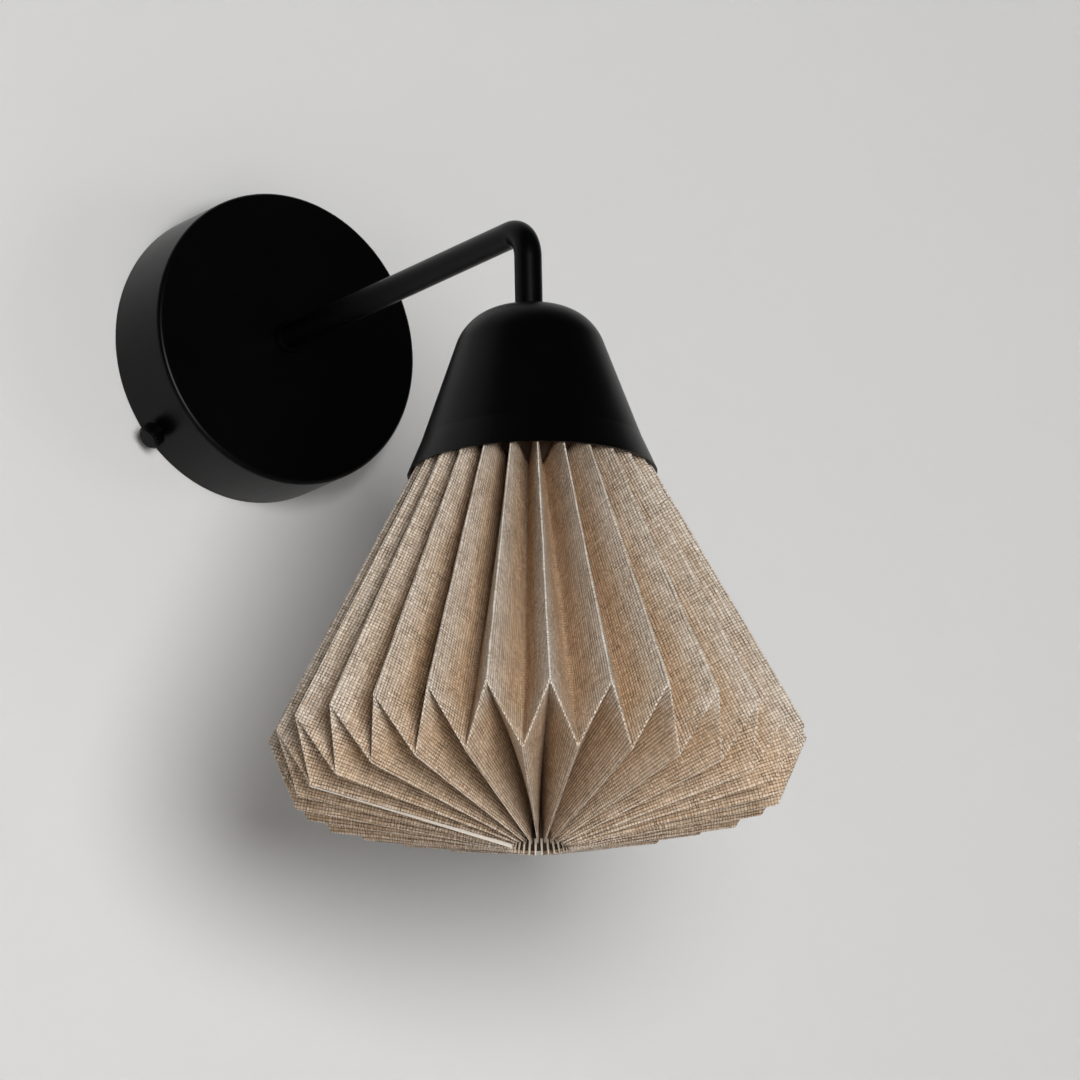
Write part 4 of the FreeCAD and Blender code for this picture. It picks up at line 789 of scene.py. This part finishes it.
def painted_shade_depth(strip, place):
    """How much painted shade a point gets: 0 on the upper ridges, 1 from full_depth inwards in a fold, and at
    least underside_shade on the lower cone.
    """
    radius = math.hypot(place.x - LAMP_AXIS.x, place.y - LAMP_AXIS.y)
    point = Vector((radius, place.z))
    outline = [strip.corners[name] for name in ("crown", "hip", "knee", "hole")]
    depths = []
    for start, stop in zip(outline, outline[1:]):
        along = (stop - start).normalized()
        off = point - start
        depths.append(off.x * along.y - off.y * along.x)
    under = ease((strip.corners["hip"].y - place.z) / strip.sizes.full_depth) * strip.sizes.underside_shade
    return 1 - (1 - ease(min(depths) / strip.sizes.full_depth)) * (1 - under)


def build_shade(strip, materials):
    """The folded strip as one open sheet, with its flat places as a UV map."""
    rows = shade_rows(strip)
    columns = shade_columns(strip)
    vertices = []
    places = []
    wear_and_highlight = []
    for kind, k, share in columns:
        for row in rows:
            reach = strip.reach(k, row)
            if kind == "panel":
                inner = reach + share * (1 - reach - strip.reach(k + 1, row))
                vertices.append(strip.panel(k, inner, row))
                across = k + inner
            else:
                vertices.append(strip.rounded(k, share, row))
                across = k + (2 * share - 1) * reach
            places.append(strip.flat(across, row))
            wear_and_highlight.append(crease_wear_and_highlight(kind, k, share, row))
    height = len(rows)
    faces = []
    for column in range(len(columns)):
        start = column * height
        beside = (column + 1) % len(columns) * height
        for row in range(height - 1):
            faces.append((start + row, start + row + 1, beside + row + 1, beside + row))
    shade = new_mesh_object("pleated_linen_shade", vertices, faces, materials)
    around = len(strip.lines) * strip.sizes.panel_width
    layer = shade.data.uv_layers.new(name="strip")
    for polygon in shade.data.polygons:
        wraps = polygon.index // (height - 1) == len(columns) - 1
        for loop in polygon.loop_indices:
            u, v = places[shade.data.loops[loop].vertex_index]
            layer.data[loop].uv = (u + around if wraps and u < around / 2 else u, v)
    # Painted shade for each point, from its depth in a fold and its height on the lower cone.
    depth = [painted_shade_depth(strip, vertex) for vertex in vertices]
    for name, values in (("crease", wear_and_highlight), ("depth", depth)):
        shade.data.attributes.new(name, "FLOAT", "POINT").data.foreach_set("value", values)
    return shade


def build_seam(strip, material):
    """The bare end of the strip: a cream sliver that stands past a lower ridge and widens to the hole."""
    sizes = strip.sizes
    before = sizes.seam_crease - 1
    vertices = []
    for step in range(SEAM_SPANS + 1):
        row = ("below", step / SEAM_SPANS)
        lift = strip.outward(before, "below") * SEAM_PROUD
        width = sizes.seam_start + (sizes.seam_width - sizes.seam_start) * step / SEAM_SPANS
        for share in (SEAM_ROOT, 1 + width / sizes.panel_width):
            vertices.append(strip.panel(before, share, row) + lift)
    faces = [(2 * n, 2 * n + 1, 2 * n + 3, 2 * n + 2) for n in range(SEAM_SPANS)]
    return new_mesh_object("strip_seam", vertices, faces, [material])


def build_fibres(strip, material):
    """Loose linen fibres that stand off the creases, as thin bent tubes."""
    sizes = strip.sizes
    chance = random.Random(FIBRE_SEED)

    def strayed(way, spread):
        return (way + Vector([chance.gauss(0, spread) for _ in range(3)])).normalized()

    vertices = []
    faces = []
    for _ in range(sizes.fibres):
        k = chance.randrange(len(strip.lines))
        half = "above" if k % 2 == 0 else "below"
        place = strip.rounded(k, 0.5, (half, chance.uniform(*FIBRE_SPOTS)))
        away = Vector((place.x - LAMP_AXIS.x, place.y - LAMP_AXIS.y, FIBRE_LEAN[half])).normalized()
        way = strayed(away, FIBRE_STRAY)
        link = chance.uniform(*FIBRE_LENGTHS) / FIBRE_LINKS
        for step in range(FIBRE_LINKS + 1):
            side = way.orthogonal().normalized() * sizes.fibre_thickness / 2
            other = way.cross(side)
            start = len(vertices)
            for degrees in FIBRE_TURNS:
                turn = math.radians(degrees)
                vertices.append(place + side * math.cos(turn) + other * math.sin(turn))
            if step:
                for n in range(3):
                    beside = (n + 1) % 3
                    faces.append((start + n - 3, start + beside - 3, start + beside, start + n))
            else:
                faces.append((start + 2, start + 1, start))
            way = strayed(way, FIBRE_CURL)
            place = place + way * link
        faces.append((start, start + 1, start + 2))
    return new_mesh_object("loose_fibres", vertices, faces, [material])


def build_collar(name, top, bottom, thickness, material):
    """A cone of card round the lamp's axis, from top to bottom, each (radius, height)."""
    deselect()
    bpy.ops.mesh.primitive_cone_add(vertices=COLLAR_SIDES, radius1=bottom[0], radius2=top[0],
                                    depth=top[1] - bottom[1], end_fill_type="NOTHING",
                                    location=LAMP_AXIS + Vector((0, 0, (top[1] + bottom[1]) / 2)))
    bpy.ops.object.transform_apply(location=True, rotation=True, scale=True)
    collar = bpy.context.object
    collar.name = name
    collar.data.materials.append(material)
    apply_modifier(collar, "SOLIDIFY", thickness=thickness, offset=0.0)
    return collar


# Operators.

class WALLLIGHT_OT_stage(bpy.types.Operator):
    """Adds the backdrop, the floor, the soft lights and the camera"""
    bl_idname = "walllight.stage"
    bl_label = "Stage"

    def execute(self, context):
        sizes = context.scene.wall_light_stage
        tint = context.scene.wall_light_colours.backdrop
        half, low, back = sizes.stage_size, sizes.floor_height, sizes.wall_gap
        wall_corners = [(-half, back, low), (half, back, low), (half, back, half), (-half, back, half)]
        floor_corners = [(-half, -2 * half, low), (half, -2 * half, low), (half, back, low),
                         (-half, back, low)]
        backdrop = new_mesh_object("backdrop", wall_corners, [(0, 1, 2, 3)], [one_sided("pale_wall", tint)])
        floor = new_mesh_object("floor", floor_corners, [(0, 1, 2, 3)],
                                [one_sided("pale_floor", tint, glow=sizes.floor_glow)])
        self.add_light("key", sizes.key_turn, sizes.key_rise, *KEY_LIGHT, glossy=True)
        self.add_light("side_fill", sizes.fill_turn, sizes.fill_rise, *FILL_LIGHT, glossy=False)
        self.add_light("rear_fill", sizes.rear_turn, sizes.rear_rise, *REAR_LIGHT, glossy=True)
        self.add_world(context, sizes)
        self.add_camera(context, sizes)
        return {"FINISHED"}

    def add_light(self, name, turn, rise, size, watts, glossy):
        """A round soft light that faces the lamp from a turn to the right and a rise above the horizontal."""
        way = Vector((math.sin(turn) * math.cos(rise), -math.cos(turn) * math.cos(rise), math.sin(rise)))
        deselect()
        bpy.ops.object.light_add(type="AREA", location=LIGHT_TARGET + way * LIGHT_DISTANCE,
                                 rotation=way.to_track_quat("Z", "Y").to_euler())
        light = bpy.context.object
        light.name = name
        light.visible_camera = False
        light.visible_glossy = glossy
        light.data.shape = "DISK"
        light.data.size = size
        light.data.energy = watts

    def add_world(self, context, sizes):
        """Pale surroundings that give little light and look brighter to the camera."""
        world = bpy.data.worlds.new("studio")
        world.use_nodes = True
        graph = Graph(world.node_tree)
        background = world.node_tree.nodes["Background"]
        background.inputs["Color"].default_value = (1.0, 0.995, 0.985, 1.0)
        seen = graph.node("LightPath").outputs["Is Camera Ray"]
        graph.feed(background.inputs["Strength"],
                   graph.between(seen, 0.0, 1.0, sizes.world_light, sizes.world_seen))
        context.scene.world = world
        context.scene.view_settings.view_transform = "Standard"

    def add_camera(self, context, sizes):
        turn, rise, roll = sizes.camera_turn, sizes.camera_rise, sizes.camera_roll
        forward = Vector((math.sin(turn) * math.cos(rise), math.cos(turn) * math.cos(rise), math.sin(rise)))
        level = Vector((math.cos(turn), -math.sin(turn), 0))
        down = forward.cross(level)
        right = level * math.cos(roll) + down * math.sin(roll)
        up = forward.cross(right) * -1
        deselect()
        bpy.ops.object.camera_add()
        camera = context.object
        camera.data.lens = sizes.camera_lens
        camera.data.clip_end = 100.0
        place = Matrix((right, up, -forward)).transposed().to_4x4()
        place.translation = sizes.camera_place
        camera.matrix_world = place
        context.scene.camera = camera


class WALLLIGHT_OT_metalwork(bpy.types.Operator):
    """Gives the plate, arm, collar, cap and side screws their black coat"""
    bl_idname = "walllight.metalwork"
    bl_label = "Metalwork"

    def execute(self, context):
        tint = context.scene.wall_light_colours.coat
        coat = black_coat("black_powder_coat", tint, gloss=0.33, grain=2600.0)
        dark = black_coat("black_knurled", scaled(tint, 0.8), gloss=0.34, grain=5200.0)
        for name in ("wall_plate", "arm_collar", "arm_tube", "bell_cap"):
            finish_node(name, coat)
        for name in ("side_screw_left", "side_screw_right"):
            finish_node(name, dark)
        return {"FINISHED"}


class WALLLIGHT_OT_fittings(bpy.types.Operator):
    """Finishes the bracket, nipples, lampholder, wiring and bulb"""
    bl_idname = "walllight.fittings"
    bl_label = "Fittings"

    def execute(self, context):
        zinc = handled("zinc_plate", (0.50, 0.51, 0.52), (0.36, 0.35, 0.33), roughness=0.32, metallic=1.0)
        brass = handled("bright_brass", (0.72, 0.52, 0.24), (0.42, 0.28, 0.12), roughness=0.28, metallic=1.0)
        screw = handled("plated_screw", (0.68, 0.68, 0.69), (0.5, 0.49, 0.47), roughness=0.25, metallic=1.0)
        black = handled("black_phenolic", (0.016, 0.016, 0.017), (0.028, 0.027, 0.026), roughness=0.42)
        pale = handled("white_moulding", (0.72, 0.71, 0.66), (0.60, 0.58, 0.52), roughness=0.5)
        opal = handled("opal_diffuser", (0.86, 0.86, 0.83), (0.80, 0.80, 0.76), roughness=0.35,
                       Subsurface_Weight=0.3)
        sheath = handled("black_sheath", (0.02, 0.02, 0.02), (0.035, 0.034, 0.033), roughness=0.6)
        core = handled("brown_core", (0.20, 0.075, 0.03), (0.15, 0.06, 0.03), roughness=0.5)
        earth = handled("green_core", (0.25, 0.36, 0.05), (0.40, 0.38, 0.04), roughness=0.5, scale=300.0)
        finishes = {
            zinc: ("wall_bracket", "shade_carrier", "plate_washer", "cap_washer", "plate_nut", "cap_nut",
                   "plate_nipple", "cap_nipple", "terminal_screws", "earth_lug"),
            brass: ("screw_shell", "centre_contact", "side_contact", "terminal_clamps", "earth_screw"),
            black: ("holder_dome", "holder_body", "upper_ring", "lower_ring", "cable_bush", "bulb_tip"),
            pale: ("holder_insert", "terminal_block", "bulb_body"),
            opal: ("bulb_globe",),
            screw: ("bulb_screw",),
            sheath: ("arm_cable",),
            core: ("plate_cores", "holder_cores"),
            earth: ("earth_core",),
        }
        for material, names in finishes.items():
            for name in names:
                finish_node(name, material)
        return {"FINISHED"}


class WALLLIGHT_OT_shade(bpy.types.Operator):
    """Folds the linen shade from its straight strip"""
    bl_idname = "walllight.shade"
    bl_label = "Folded shade"

    def execute(self, context):
        sizes = context.scene.wall_light_shade
        colours = context.scene.wall_light_colours
        strip = FoldedStrip(sizes)
        corners = strip.corners
        shade = build_shade(strip, [linen(colours, sizes.thread_pitch), backing(colours)])
        apply_modifier(shade, "SOLIDIFY", thickness=sizes.thickness, offset=0.0, material_offset=1,
                       material_offset_rim=1)
        seam = build_seam(strip, plain_fibre("bare_strip_end", colours.strip_end, 0.8))
        apply_modifier(seam, "SOLIDIFY", thickness=sizes.collar_thickness, offset=0.0)
        fibres = build_fibres(strip, plain_fibre("linen_fibre", colours.thread, 0.7))
        # The card is near black: painted shade that closes the folds' inner ends under the cap and round the
        # hole.
        card = plain_fibre("glued_card_painted_shade", colours.card, 0.85)
        top = build_collar("upper_collar", corners["crown"] + CROWN_GAP, corners["throat"] + FOLD_GAP,
                           sizes.collar_thickness, card)
        bottom = build_collar("hole_collar", corners["gather"] + FOLD_GAP, corners["hole"] + HOLE_GAP,
                              sizes.collar_thickness, card)
        for piece in (shade, fibres):
            for polygon in piece.data.polygons:
                polygon.use_smooth = True
        for piece in (shade, seam, fibres, top, bottom):
            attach(piece, FIXTURE)
        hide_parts("pleated_shade")
        return {"FINISHED"}


class WALLLIGHT_PT_sidebar(bpy.types.Panel):
    """Lists the wall light's sizes, colours and building steps"""
    bl_idname = "WALLLIGHT_PT_sidebar"
    bl_label = "Wall Light"
    bl_space_type = "VIEW_3D"
    bl_region_type = "UI"
    bl_category = "Wall Light"

    def draw(self, context):
        scene = context.scene
        for group in (scene.wall_light_shade, scene.wall_light_stage, scene.wall_light_colours):
            box = self.layout.box()
            for name in group.__annotations__:
                box.prop(group, name)
        for operator in OPERATORS:
            self.layout.operator(operator.bl_idname)


GROUPS = (ShadeSizes, StageSizes, FinishColours)
OPERATORS = (WALLLIGHT_OT_stage, WALLLIGHT_OT_metalwork, WALLLIGHT_OT_fittings, WALLLIGHT_OT_shade)


def register():
    for cls in (*GROUPS, *OPERATORS, WALLLIGHT_PT_sidebar):
        bpy.utils.register_class(cls)
    bpy.types.Scene.wall_light_shade = PointerProperty(type=ShadeSizes)
    bpy.types.Scene.wall_light_stage = PointerProperty(type=StageSizes)
    bpy.types.Scene.wall_light_colours = PointerProperty(type=FinishColours)


def unregister():
    del bpy.types.Scene.wall_light_shade
    del bpy.types.Scene.wall_light_stage
    del bpy.types.Scene.wall_light_colours
    for cls in reversed((*GROUPS, *OPERATORS, WALLLIGHT_PT_sidebar)):
        bpy.utils.unregister_class(cls)


def main():
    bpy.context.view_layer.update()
    register()
    for make_group in (weave_group, coat_group, wear_group):
        make_group()
    for operator in OPERATORS:
        family, name = operator.bl_idname.split(".")
        getattr(getattr(bpy.ops, family), name)()


if __name__ == "__main__":
    main()
